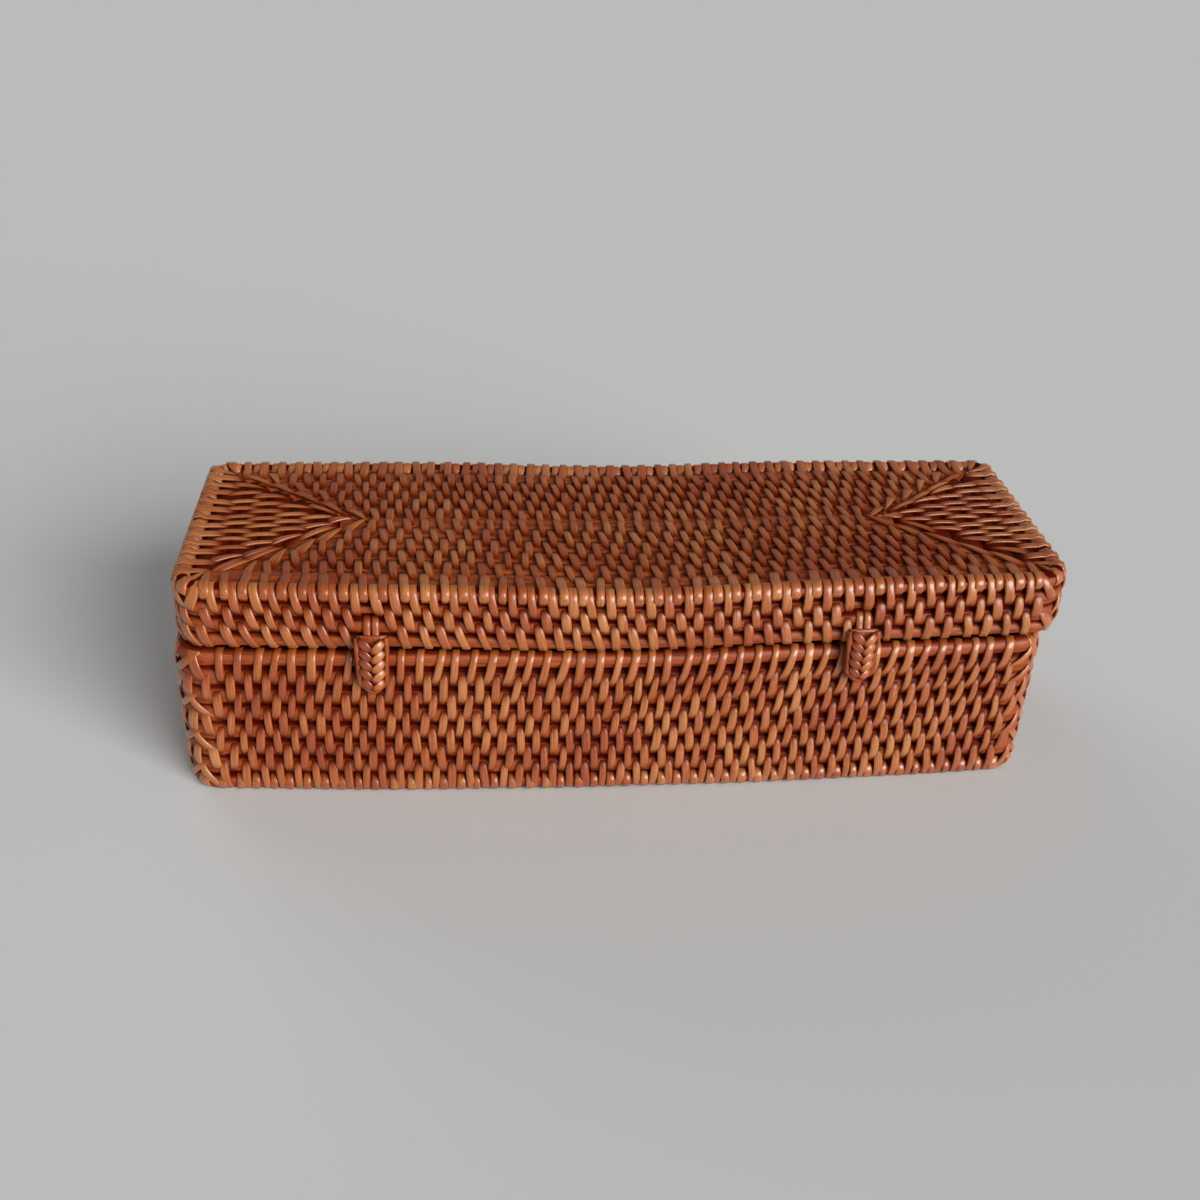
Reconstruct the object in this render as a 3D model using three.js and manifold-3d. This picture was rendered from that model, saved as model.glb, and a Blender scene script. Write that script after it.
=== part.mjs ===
// Woven rattan glasses case: a coiled cane base, a coiled cane lid hinged on two strip lashings
// at the back, and two plaited pull tabs looped round the lid's front wall.
// Millimetres, +Z up, +X along the length, front at -Y, origin at the middle of the underside.
import * as THREE from 'three';
import { mergeVertices } from 'three/addons/utils/BufferGeometryUtils.js';
import Module from 'manifold-3d';

// Overall sizes
const LID_LENGTH = 185;
const BASE_LENGTH = 184;
const CASE_DEPTH = 57.5;
const FRONT_BOW = 2.9;
const LID_SHIFT = 1.9;
const CORNER_RADIUS = 5;

// Wall courses: one course is a cane with its binding
const WALL_THICKNESS = 4.4;
const BASE_COURSES = 8;
const BASE_COURSE_HEIGHT = 4.2;
const LID_COURSES = 4;
const LID_COURSE_HEIGHT = 3.35;
const COURSE_GAP = 0.3;
const COURSE_ROUNDING = 1.7;
const SEAM_GAP = 0.8;
const CANE_DIAMETER = 3.2;

// Flat panels of the floor and the lid: a straight core cane and mitred rounds about it
const PANEL_ROUNDS = 5;
const PANEL_END_SPREAD = 1.1;

// Hinge lashings at the back
const HINGE_OFFSET = 52;
const HINGE_WIDTH = 7;
const LID_OPEN_ANGLE = 100;
const LASHING_THICKNESS = 0.45;
const LASHING_CLEARANCE = 0.2;
const SCOOP_CLEARANCE = 0.3;

// Pull tabs at the front
const TAB_LEFT_X = -51;
const TAB_RIGHT_X = 49.6;
const TAB_WIDTH = 7;
const TAB_LENGTH_LEFT = 14.7;
const TAB_LENGTH_RIGHT = 13.8;
const TAB_CLEARANCE = 0.4;
const STRAP_THICKNESS = 0.7;
const EDGE_CANE_DIAMETER = 1.3;
const PLAIT_CLEARANCE = 0.3;
const PLAIT_EDGE_HEIGHT = 0.6;
const PLAIT_RIDGE_HEIGHT = 1.5;
const STRAND_PITCH = 2.1;
const STRAND_WIDTH = 1.5;
const STRAND_RISE = 0.45;
const STRAND_LEAN = 50;

// Colours from the photograph
const rattan = { roughness: 0.42, metalness: 0 };
const baseCane = new THREE.MeshStandardMaterial({ color: 0xa8602f, ...rattan });
const lidCane = new THREE.MeshStandardMaterial({ color: 0xa05527, ...rattan });
const stripCane = new THREE.MeshStandardMaterial({ color: 0xb9743c, ...rattan });

// Places that follow from the sizes above
const basePitch = BASE_COURSE_HEIGHT + COURSE_GAP;
const lidPitch = LID_COURSE_HEIGHT + COURSE_GAP;
const baseTop = BASE_COURSES * basePitch - COURSE_GAP;
const lidBottom = baseTop + SEAM_GAP;
const halfDepth = CASE_DEPTH / 2;
const wallCentre = halfDepth - WALL_THICKNESS / 2;
const baseRimHeight = baseTop - BASE_COURSE_HEIGHT / 2;
const lidRimHeight = lidBottom + LID_COURSE_HEIGHT / 2;
const caneRadius = CANE_DIAMETER / 2;
const lashingInner = caneRadius + LASHING_CLEARANCE;
const lashingOuter = lashingInner + LASHING_THICKNESS;
const scoopRadius = lashingOuter + SCOOP_CLEARANCE;
const panelHalfDepth = halfDepth - WALL_THICKNESS - COURSE_GAP;
const roundPitch = (panelHalfDepth + COURSE_GAP / 2) / (PANEL_ROUNDS + 0.5);
const roundWidth = roundPitch - COURSE_GAP;
const roundEndPitch = roundPitch + PANEL_END_SPREAD;

// Solid modelling helpers
const wasm = await Module();
wasm.setup();

function solidFrom(geometry) {
  const bare = geometry.clone();
  bare.deleteAttribute('normal');
  bare.deleteAttribute('uv');
  const merged = mergeVertices(bare, 1e-4);
  const vertProperties = new Float32Array(merged.attributes.position.array);
  const triVerts = new Uint32Array(merged.index.array);
  return new wasm.Manifold(new wasm.Mesh({ numProp: 3, vertProperties, triVerts }));
}

function geometryFrom(solid) {
  const mesh = solid.getMesh();
  const geometry = new THREE.BufferGeometry();
  geometry.setAttribute('position', new THREE.BufferAttribute(mesh.vertProperties, mesh.numProp));
  geometry.setIndex(new THREE.BufferAttribute(mesh.triVerts, 1));
  geometry.computeVertexNormals();
  return geometry;
}

function rodAlongX(radius, length, x, y, z) {
  const rod = new THREE.CylinderGeometry(radius, radius, length, 16);
  rod.rotateZ(Math.PI / 2);
  rod.translate(x, y, z);
  return solidFrom(rod);
}

// Outline of a course in plan: round corners and a front side that bows out at mid-length
function bowAt(halfY) {
  return (FRONT_BOW * halfY) / halfDepth;
}

function bowedFront(x, halfX, halfY, radius) {
  const share = x / (halfX - radius);
  return -halfY - bowAt(halfY) * (1 - share * share);
}

function outlinePoints(halfX, halfY, radius) {
  const cornerSteps = 3;
  const frontSteps = 4;
  const points = [];
  for (let i = 1; i < frontSteps; i++) {
    const x = (halfX - radius) * ((2 * i) / frontSteps - 1);
    points.push(new THREE.Vector2(x, bowedFront(x, halfX, halfY, radius)));
  }
  const corners = [[1, -1], [1, 1], [-1, 1], [-1, -1]];
  corners.forEach(([sideX, sideY], corner) => {
    for (let i = 0; i <= cornerSteps; i++) {
      const angle = (corner - 1 + i / cornerSteps) * (Math.PI / 2);
      const x = sideX * (halfX - radius) + radius * Math.cos(angle);
      const y = sideY * (halfY - radius) + radius * Math.sin(angle);
      points.push(new THREE.Vector2(x, y));
    }
  });
  return points;
}

// One course: a closed ring of cane with a rounded section, standing on z = 0
function courseGeometry(halfX, halfY, outerRadius, width, height) {
  const shape = new THREE.Shape(outlinePoints(halfX, halfY, outerRadius));
  if (width < halfY) {
    const innerRadius = Math.max(outerRadius - width, COURSE_GAP);
    shape.holes.push(new THREE.Path(outlinePoints(halfX - width, halfY - width, innerRadius)));
  }
  const rounding = Math.min(COURSE_ROUNDING, 0.45 * width, 0.45 * height, 0.7 * outerRadius);
  const geometry = new THREE.ExtrudeGeometry(shape, {
    depth: height - 2 * rounding,
    bevelThickness: rounding,
    bevelSize: rounding,
    bevelOffset: -rounding,
    bevelSegments: 2,
  });
  geometry.translate(0, 0, rounding);
  return geometry;
}

function wallCourse(length, height) {
  const outerRadius = CORNER_RADIUS + WALL_THICKNESS / 2;
  return courseGeometry(length / 2, halfDepth, outerRadius, WALL_THICKNESS, height);
}

// One flat panel: the core cane and its rounds, as a list of geometries from the middle outwards
function panelCourses(length, height) {
  const panelHalfLength = length / 2 - WALL_THICKNESS - COURSE_GAP;
  const courses = [];
  for (let k = 0; k <= PANEL_ROUNDS; k++) {
    const halfX = panelHalfLength - (PANEL_ROUNDS - k) * roundEndPitch;
    const halfY = panelHalfDepth - (PANEL_ROUNDS - k) * roundPitch;
    const outerRadius = Math.min(CORNER_RADIUS, 0.8 * halfY);
    courses.push(courseGeometry(halfX, halfY, outerRadius, roundWidth, height));
  }
  return courses;
}

// A side-view outline (across, up) made solid along X, centred on x = 0
function sideSlab(shape, width, curveSegments) {
  const slab = new THREE.ExtrudeGeometry(shape, { depth: width, bevelEnabled: false, curveSegments });
  slab.rotateX(Math.PI / 2);
  slab.rotateZ(Math.PI / 2);
  slab.translate(-width / 2, 0, 0);
  return slab;
}

function stadium(path, radius, low, high) {
  path.absarc(0, low, radius, Math.PI, 2 * Math.PI);
  path.absarc(0, high, radius, 0, Math.PI);
  path.closePath();
  return path;
}

// Bare cane between the bindings, where a lashing or a tab goes round the course
function baredAt(solid, width, x, y, z) {
  const reach = WALL_THICKNESS + BASE_COURSE_HEIGHT + LID_COURSE_HEIGHT;
  const block = new THREE.BoxGeometry(width, reach, reach);
  block.translate(x, y, z);
  const sleeve = solidFrom(block).subtract(rodAlongX(caneRadius, 2 * width, x, y, z));
  return solid.subtract(sleeve);
}

// A scoop in a neighbouring course, which leaves room for what goes round the bared cane
function scoopedAt(solid, width, x, y, z) {
  return solid.subtract(rodAlongX(scoopRadius, width, x, y, z));
}

// Room in the lid's next course for the lashing, which lies behind it when the lid is open
function relievedAt(solid, width, x) {
  const outline = stadium(new THREE.Shape(), scoopRadius, baseRimHeight - lidRimHeight, 0);
  const slab = sideSlab(outline, width, 8);
  slab.rotateX(THREE.MathUtils.degToRad(LID_OPEN_ANGLE));
  slab.translate(x, wallCentre, lidRimHeight);
  return solid.subtract(solidFrom(slab));
}

function named(name, geometry, material) {
  const mesh = new THREE.Mesh(geometry, material);
  mesh.name = name;
  return mesh;
}

// Places of the hinges and the tabs
const hingeXs = [-HINGE_OFFSET, HINGE_OFFSET];
const tabs = [
  { side: 'left', x: TAB_LEFT_X, length: TAB_LENGTH_LEFT },
  { side: 'right', x: TAB_RIGHT_X, length: TAB_LENGTH_RIGHT },
];
const tabHeight = lidRimHeight + lidPitch;
const hingeSlot = HINGE_WIDTH + 2 * SCOOP_CLEARANCE;
const tabSlot = TAB_WIDTH + 2 * SCOOP_CLEARANCE;
const lidFrontRadius = CORNER_RADIUS + WALL_THICKNESS / 2;
for (const tab of tabs) {
  const wallFace = bowedFront(tab.x - LID_SHIFT, LID_LENGTH / 2, halfDepth, lidFrontRadius);
  tab.y = wallFace + WALL_THICKNESS / 2;
}

// Base: floor panel and wall courses, the last of them the rim
const base = new THREE.Group();
panelCourses(BASE_LENGTH, BASE_COURSE_HEIGHT).forEach((geometry, k) => {
  const name = k === 0 ? 'base_floor_core' : `base_floor_round_${k}`;
  base.add(named(name, geometry, baseCane));
});
for (let k = 1; k <= BASE_COURSES; k++) {
  const bottom = (k - 1) * basePitch;
  const plain = wallCourse(BASE_LENGTH, BASE_COURSE_HEIGHT);
  plain.translate(0, 0, bottom);
  let geometry = plain;
  if (k >= BASE_COURSES - 1) {
    let solid = solidFrom(plain);
    for (const x of hingeXs) {
      const cut = k === BASE_COURSES ? baredAt : scoopedAt;
      solid = cut(solid, hingeSlot, x, wallCentre, baseRimHeight);
    }
    geometry = geometryFrom(solid);
  }
  base.add(named(`base_wall_course_${k}`, geometry, baseCane));
}

// Lid: wall courses from the top edge down to the rim, and the top panel inside the top course
const lid = new THREE.Group();
for (let k = 1; k <= LID_COURSES; k++) {
  const stepsUp = LID_COURSES - k;
  const plain = wallCourse(LID_LENGTH, LID_COURSE_HEIGHT);
  plain.translate(LID_SHIFT, 0, lidBottom + stepsUp * lidPitch);
  let solid = solidFrom(plain);
  for (const x of hingeXs) {
    if (stepsUp === 0) solid = baredAt(solid, hingeSlot, x, wallCentre, lidRimHeight);
    if (stepsUp === 1) solid = relievedAt(solid, hingeSlot, x);
  }
  for (const tab of tabs) {
    if (stepsUp === 1) solid = baredAt(solid, tabSlot, tab.x, tab.y, tabHeight);
    if (stepsUp === 0 || stepsUp === 2) solid = scoopedAt(solid, tabSlot, tab.x, tab.y, tabHeight);
  }
  lid.add(named(`lid_wall_course_${k}`, geometryFrom(solid), lidCane));
}
const lidPanelBottom = lidBottom + (LID_COURSES - 1) * lidPitch;
panelCourses(LID_LENGTH, LID_COURSE_HEIGHT).forEach((geometry, k) => {
  const name = k === 0 ? 'lid_top_core' : `lid_top_round_${k}`;
  geometry.translate(LID_SHIFT, 0, lidPanelBottom);
  lid.add(named(name, geometry, lidCane));
});

// Hinge lashing: a flat strip wound round the base rim cane and the lid rim cane
function hingeLashing() {
  const outline = stadium(new THREE.Shape(), lashingOuter, baseRimHeight, lidRimHeight);
  outline.holes.push(stadium(new THREE.Path(), lashingInner, baseRimHeight, lidRimHeight));
  return sideSlab(outline, HINGE_WIDTH, 5);
}

hingeXs.forEach((x, i) => {
  const mesh = named(`hinge_lashing_${i === 0 ? 'left' : 'right'}`, hingeLashing(), stripCane);
  mesh.position.set(x, wallCentre, 0);
  base.add(mesh);
});

// Pull tab: its strap loops round the bared lid cane and hangs in front of the wall, with a hairpin
// of thin cane along its edges and a plait between them. The tab's origin is the lid cane's centre.
const strapBack = -(WALL_THICKNESS / 2 + TAB_CLEARANCE);
const strapFront = strapBack - STRAP_THICKNESS;
const edgeRadius = EDGE_CANE_DIAMETER / 2;
const hairpinHalf = TAB_WIDTH / 2 - edgeRadius;
const hairpinY = strapFront - 0.7 * edgeRadius;

class Hairpin extends THREE.Curve {
  constructor(length) {
    super();
    this.straight = length - TAB_WIDTH / 2 - edgeRadius;
    this.bend = Math.PI * hairpinHalf;
  }

  getPoint(t, target = new THREE.Vector3()) {
    const top = -edgeRadius;
    const travel = t * (2 * this.straight + this.bend);
    if (travel <= this.straight) return target.set(-hairpinHalf, hairpinY, top - travel);
    const turned = travel - this.straight;
    if (turned >= this.bend) {
      return target.set(hairpinHalf, hairpinY, top - this.straight + (turned - this.bend));
    }
    const angle = Math.PI + turned / hairpinHalf;
    const x = hairpinHalf * Math.cos(angle);
    const z = top - this.straight + hairpinHalf * Math.sin(angle);
    return target.set(x, hairpinY, z);
  }
}

function tipOutline(halfWidth, top, bottom) {
  const shape = new THREE.Shape();
  shape.moveTo(halfWidth, top);
  shape.lineTo(-halfWidth, top);
  shape.absarc(0, bottom + halfWidth, halfWidth, Math.PI, 2 * Math.PI);
  shape.closePath();
  return shape;
}

// A front-view outline made solid between two depths
function frontSlab(shape, front, back) {
  const slab = new THREE.ExtrudeGeometry(shape, {
    depth: back - front,
    bevelEnabled: false,
    curveSegments: 6,
  });
  slab.rotateX(Math.PI / 2);
  slab.translate(0, back, 0);
  return slab;
}

function tabLoop(length) {
  const eyeOutline = new THREE.Shape();
  eyeOutline.absarc(0, 0, lashingOuter, 0, 2 * Math.PI);
  const eyeHole = new THREE.Path();
  eyeHole.absarc(0, 0, lashingInner, 0, 2 * Math.PI);
  eyeOutline.holes.push(eyeHole);
  const neckReach = (lashingInner + lashingOuter) / 2;
  const neckHalf = 0.35 * neckReach;
  const tongue = new THREE.Shape([
    new THREE.Vector2(-neckReach * 0.94, neckHalf),
    new THREE.Vector2(strapFront, 0),
    new THREE.Vector2(strapFront, -length),
    new THREE.Vector2(strapBack, -length),
    new THREE.Vector2(strapBack, -2 * neckHalf),
    new THREE.Vector2(-neckReach * 0.94, -neckHalf),
  ]);
  const [eye, strap] = [eyeOutline, tongue].map((shape) => solidFrom(sideSlab(shape, TAB_WIDTH, 8)));
  const reach = WALL_THICKNESS + TAB_CLEARANCE + STRAP_THICKNESS;
  const tip = frontSlab(tipOutline(TAB_WIDTH / 2, reach, -length), -reach, reach);
  const section = new THREE.Shape().absarc(0, 0, edgeRadius, 0, 2 * Math.PI);
  const hairpin = new THREE.ExtrudeGeometry(section, {
    steps: 20,
    curveSegments: 4,
    extrudePath: new Hairpin(length),
  });
  return geometryFrom(eye.add(strap.intersect(solidFrom(tip))).add(solidFrom(hairpin)));
}

// The plait: a roof-shaped core and pairs of leaf-shaped strands that run down to its ridge
function strandSolid(side, halfWidth, edgeY, ridgeY, z) {
  const slope = new THREE.Vector3(side * halfWidth, edgeY - ridgeY, 0).normalize();
  const up = new THREE.Vector3(0, 0, 1);
  const lean = THREE.MathUtils.degToRad(STRAND_LEAN);
  const along = slope.clone().multiplyScalar(Math.cos(lean)).addScaledVector(up, Math.sin(lean));
  const out = slope.clone().cross(up).multiplyScalar(side);
  const aside = out.clone().cross(along);
  const reach = halfWidth / Math.cos(lean);
  const leaf = new THREE.Shape();
  leaf.moveTo(0, 0);
  leaf.quadraticCurveTo(reach / 2, -STRAND_WIDTH, reach, 0);
  leaf.quadraticCurveTo(reach / 2, STRAND_WIDTH, 0, 0);
  const geometry = new THREE.ExtrudeGeometry(leaf, {
    depth: 2 * STRAND_RISE,
    bevelEnabled: false,
    curveSegments: 4,
  });
  geometry.translate(0, 0, -STRAND_RISE);
  const place = new THREE.Matrix4().makeBasis(along, aside, out).setPosition(0, ridgeY, z);
  geometry.applyMatrix4(place);
  return solidFrom(geometry);
}

function tabPlait(length) {
  const halfWidth = hairpinHalf - edgeRadius - PLAIT_CLEARANCE;
  const backY = strapFront - PLAIT_CLEARANCE;
  const edgeY = backY - PLAIT_EDGE_HEIGHT;
  const ridgeY = backY - PLAIT_RIDGE_HEIGHT;
  const top = -EDGE_CANE_DIAMETER;
  const bottom = -length + 2 * edgeRadius + PLAIT_CLEARANCE;
  const roof = new THREE.Shape([
    new THREE.Vector2(halfWidth, backY),
    new THREE.Vector2(-halfWidth, backY),
    new THREE.Vector2(-halfWidth, edgeY),
    new THREE.Vector2(0, ridgeY),
    new THREE.Vector2(halfWidth, edgeY),
  ]);
  const core = new THREE.ExtrudeGeometry(roof, { depth: top - bottom, bevelEnabled: false });
  core.translate(0, 0, bottom);
  let plait = solidFrom(core);
  for (let z = top - STRAND_PITCH; z > bottom + STRAND_WIDTH / 2; z -= STRAND_PITCH) {
    for (const side of [-1, 1]) plait = plait.add(strandSolid(side, halfWidth, edgeY, ridgeY, z));
  }
  const reach = WALL_THICKNESS + PLAIT_RIDGE_HEIGHT + 2 * STRAND_RISE;
  const trim = frontSlab(tipOutline(halfWidth, top, bottom), backY - reach, backY);
  return geometryFrom(plait.intersect(solidFrom(trim)));
}

for (const tab of tabs) {
  const group = new THREE.Group();
  group.position.set(tab.x, tab.y, tabHeight);
  group.add(named(`tab_${tab.side}_loop`, tabLoop(tab.length), stripCane));
  group.add(named(`tab_${tab.side}_plait`, tabPlait(tab.length), stripCane));
  lid.add(group);
}

// The whole case, closed
const glassesCase = new THREE.Group();
glassesCase.add(base, lid);

export default glassesCase;
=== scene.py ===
# %% [markdown]
# # A coiled rattan glasses case
# The real case is basketry. Canes are laid in courses, like bricks, and thin half-round strips are
# looped round two courses at a time to bind them. The lid hangs on two strip lashings at the back,
# and two plaited pull tabs hang on the front. This lesson rebuilds each course as a cane with its
# row of stitches, in the same frame and the same places as the solid model.

# %% Load the solid model
import math
import random
import bpy
from mathutils import Matrix, Vector


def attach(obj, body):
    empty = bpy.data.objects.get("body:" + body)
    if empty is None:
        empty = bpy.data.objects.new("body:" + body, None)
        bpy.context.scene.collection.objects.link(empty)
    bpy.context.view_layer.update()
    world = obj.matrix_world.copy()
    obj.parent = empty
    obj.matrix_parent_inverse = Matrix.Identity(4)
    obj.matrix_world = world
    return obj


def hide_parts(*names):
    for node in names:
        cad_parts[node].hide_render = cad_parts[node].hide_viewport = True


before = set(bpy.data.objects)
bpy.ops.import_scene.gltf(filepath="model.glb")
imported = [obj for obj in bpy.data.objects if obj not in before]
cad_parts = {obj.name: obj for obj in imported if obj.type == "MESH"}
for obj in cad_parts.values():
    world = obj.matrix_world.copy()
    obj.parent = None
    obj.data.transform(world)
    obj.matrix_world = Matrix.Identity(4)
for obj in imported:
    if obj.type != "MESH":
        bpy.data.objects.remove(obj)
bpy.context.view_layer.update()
MM = 0.001
print("solid model:", len(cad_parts), "nodes")

# %% [markdown]
# ## The camera first
# A pinhole camera was fitted to the corners of the case in the photograph. Its turn, tilt and roll
# are written as angles. The picture is square, so the lens follows from the focal length in pixels
# over the picture's width.

# %% Camera
PICTURE_SIZE = 1200
FOCAL_PIXELS = 1350
SENSOR_WIDTH = 36
NEAREST_SEEN = 10 * MM
CAMERA_PLACE = Vector((-30.6, -260.4, 188.2)) * MM
CAMERA_TURN = math.radians(-6.27)
CAMERA_TILT = math.radians(31.21)
CAMERA_ROLL = math.radians(2.56)

scene = bpy.context.scene
scene.view_settings.view_transform = "Standard"
camera_data = bpy.data.cameras.new("photo_camera")
camera_data.sensor_width = SENSOR_WIDTH
camera_data.lens = FOCAL_PIXELS * SENSOR_WIDTH / PICTURE_SIZE
camera_data.clip_start = NEAREST_SEEN
camera = bpy.data.objects.new("photo_camera", camera_data)
scene.collection.objects.link(camera)
turn = Matrix.Rotation(CAMERA_TURN, 3, "Z")
tilt = Matrix.Rotation(math.pi / 2 - CAMERA_TILT, 3, "X")
roll = Matrix.Rotation(CAMERA_ROLL, 3, "Z")
camera.rotation_mode = "QUATERNION"
camera.rotation_quaternion = (turn @ tilt @ roll).to_quaternion()
camera.location = CAMERA_PLACE
scene.camera = camera
print("lens", round(camera_data.lens, 1), "mm")

# %% [markdown]
# ## Small helpers
# Every material and every node tree below is built from one helper, which adds a node, sets its
# options and fills its sockets with numbers or links. Colours are written as sRGB hex values, the
# way a colour picker shows them, and are turned into the linear values that shaders work with.

# %% Node and colour helpers
def linear(hex_colour):
    channels = [int(hex_colour[i:i + 2], 16) / 255 for i in (1, 3, 5)]
    curve = [c / 12.92 if c <= 0.04045 else ((c + 0.055) / 1.055) ** 2.4 for c in channels]
    return (*curve, 1.0)


def add(tree, kind, options=None, sockets=None):
    made = tree.nodes.new(kind)
    for option, value in (options or {}).items():
        setattr(made, option, value)
    for socket, value in (sockets or {}).items():
        if isinstance(value, bpy.types.NodeSocket):
            tree.links.new(value, made.inputs[socket])
        else:
            made.inputs[socket].default_value = value
    return made


print("white is", [round(c, 2) for c in linear("#FFFFFF")])

# %% [markdown]
# ## Finish 1: lacquered rattan strip
# The strip is the shiny outer skin of the rattan vine, split and shaved half-round, then lacquered.
# To the eye that gives fibres along the strip, a shade of its own for each strip, patches of worn
# lacquer, and a clear coat with a soft gloss. Each stitch carries a random `tone`, its place
# `across` and `around` the loop, and `tuck`, which grows where the strip dives between two canes:
# there its colour is painted darker, as painted shade, and the gloss fades. Sizes are in millimetres.
# Real fibres are finer than the picture shows, so six are drawn on each strip.

# %% Strip material
STRIP_SHADES = [(0.15, "#782802"), (0.5, "#9A4509"), (0.85, "#B9763E")]
# The colour that a strip is painted towards where it dives between canes: painted shade.
TUCK_SHADE = "#4C0B02"
FIBRES_PER_STRIP = 6
FIBRE_LENGTH = 6.25
FIBRE_RANGE = (0.3, 0.7)
FIBRE_DETAIL = 3.0
FIBRE_RELIEF = 0.12
FIBRE_BUMP = 0.5
STRIP_STEP = 97.0
STREAK_SHARE = 0.62
PATCH_SIZE = 22.0
PATCH_DETAIL = 2.0
PATCH_RANGE = (0.25, 0.75)
PATCH_SHARE = 0.42
# Strip colour is lifted a little everywhere, and painted darker where a strip is tucked, as painted
# shade.
OPEN_WEAR = 0.08
TUCK_SHADE_SHIFT = -0.4
STRIP_SHINES = {"Specular IOR Level": 0.35, "Coat Weight": 1.0}
DULL_TUCK = 0.6
DULL = 0.02
STRIP_ROUGHNESS = (0.38, 0.55)
COAT_ROUGHNESS = 0.26
LACQUER_IOR = 1.5


def set_stops(ramp, shades):
    stops = ramp.color_ramp.elements
    while len(stops) < len(shades):
        stops.new(0.5)
    for stop, (place, colour) in zip(stops, shades):
        stop.position = place
        stop.color = linear(colour)


def strip_material():
    material = bpy.data.materials.new("lacquered_rattan_strip")
    material.use_nodes = True
    tree = material.node_tree
    shader = tree.nodes["Principled BSDF"]
    tone, across, around, tuck = [
        add(tree, "ShaderNodeAttribute", {"attribute_name": name}).outputs[2]
        for name in ("tone", "across", "around", "tuck")]
    place = add(tree, "ShaderNodeCombineXYZ", sockets={0: across, 1: around, 2: tone}).outputs[0]
    place = add(tree, "ShaderNodeVectorMath", {"operation": "MULTIPLY"}, {
        0: place, 1: (FIBRES_PER_STRIP, 1 / (FIBRE_LENGTH * MM), STRIP_STEP)}).outputs[0]
    fibres = add(tree, "ShaderNodeTexNoise", sockets={
        "Vector": place, "Scale": 1.0, "Detail": FIBRE_DETAIL}).outputs[0]
    streaks = add(tree, "ShaderNodeMapRange", sockets={
        0: fibres, 1: FIBRE_RANGE[0], 2: FIBRE_RANGE[1]}).outputs[0]
    mixed = add(tree, "ShaderNodeMix", sockets={0: STREAK_SHARE, 2: tone, 3: streaks}).outputs[0]
    spot = add(tree, "ShaderNodeTexCoord").outputs["Object"]
    patches = add(tree, "ShaderNodeTexNoise", sockets={
        "Vector": spot, "Scale": 1 / (PATCH_SIZE * MM), "Detail": PATCH_DETAIL}).outputs[0]
    patches = add(tree, "ShaderNodeMapRange", sockets={
        0: patches, 1: PATCH_RANGE[0], 2: PATCH_RANGE[1]}).outputs[0]
    mixed = add(tree, "ShaderNodeMix", sockets={0: PATCH_SHARE, 2: mixed, 3: patches}).outputs[0]
    wear_and_shade = add(tree, "ShaderNodeMath", {"operation": "MULTIPLY_ADD"}, {
        0: tuck, 1: TUCK_SHADE_SHIFT, 2: OPEN_WEAR}).outputs[0]
    worn_and_shaded = add(tree, "ShaderNodeMath", {"operation": "ADD"}, {0: mixed, 1: wear_and_shade}).outputs[0]
    lacquer = add(tree, "ShaderNodeValToRGB", sockets={0: worn_and_shaded})
    set_stops(lacquer, STRIP_SHADES)
    # `tuck` mixes the painted shade into the colour towards the tucked ends.
    shaded = add(tree, "ShaderNodeMix", {"data_type": "RGBA"}, {
        0: tuck, 6: lacquer.outputs[0], 7: linear(TUCK_SHADE)}).outputs[2]
    tree.links.new(shaded, shader.inputs["Base Color"])
    for shine, most in STRIP_SHINES.items():
        faded = add(tree, "ShaderNodeMapRange", sockets={0: tuck, 2: DULL_TUCK, 3: most, 4: DULL})
        shader.inputs[shine].default_value = most
        tree.links.new(faded.outputs[0], shader.inputs[shine])
    gloss = add(tree, "ShaderNodeMapRange", sockets={
        0: fibres, 1: FIBRE_RANGE[0], 2: FIBRE_RANGE[1], 3: STRIP_ROUGHNESS[0], 4: STRIP_ROUGHNESS[1]})
    tree.links.new(gloss.outputs[0], shader.inputs["Roughness"])
    bump = add(tree, "ShaderNodeBump", sockets={
        "Strength": FIBRE_BUMP, "Distance": FIBRE_RELIEF * MM, "Height": fibres})
    tree.links.new(bump.outputs[0], shader.inputs["Normal"])
    shader.inputs["IOR"].default_value = LACQUER_IOR
    shader.inputs["Coat Roughness"].default_value = COAT_ROUGHNESS
    return material


strip_finish = strip_material()
print("made", strip_finish.name)

# %% [markdown]
# ## Finish 2: lacquered rattan cane
# The canes are the round core of the vine. They drink more lacquer than the skin does, so they are
# darker and redder, have no clear coat, and show long pores. The noise is stretched along the cane
# by the attribute `along`, the way real pores run. The colour is painted darker, as painted shade,
# where `gap` says that another cane is near, and where a path's `shade` asks for it.

# %% Cane material
CANE_SHADES = [(0.3, "#5E1802"), (0.5, "#923C08"), (0.72, "#AC581A")]
PORE_LENGTH = 25 / 3
PORES_ROUND_CANE = 14.0
PORE_DETAIL = 4.0
PORE_RELIEF = 0.1
PORE_BUMP = 0.3
# Over this range of `gap` the cane is painted in shade, on the sides where the next cane is near.
GROOVE_RANGE = (0.4, 0.85)
UNSHADED_SHINE = 0.4
CANE_SHINE = 0.3
CANE_ROUGHNESS = 0.5


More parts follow.
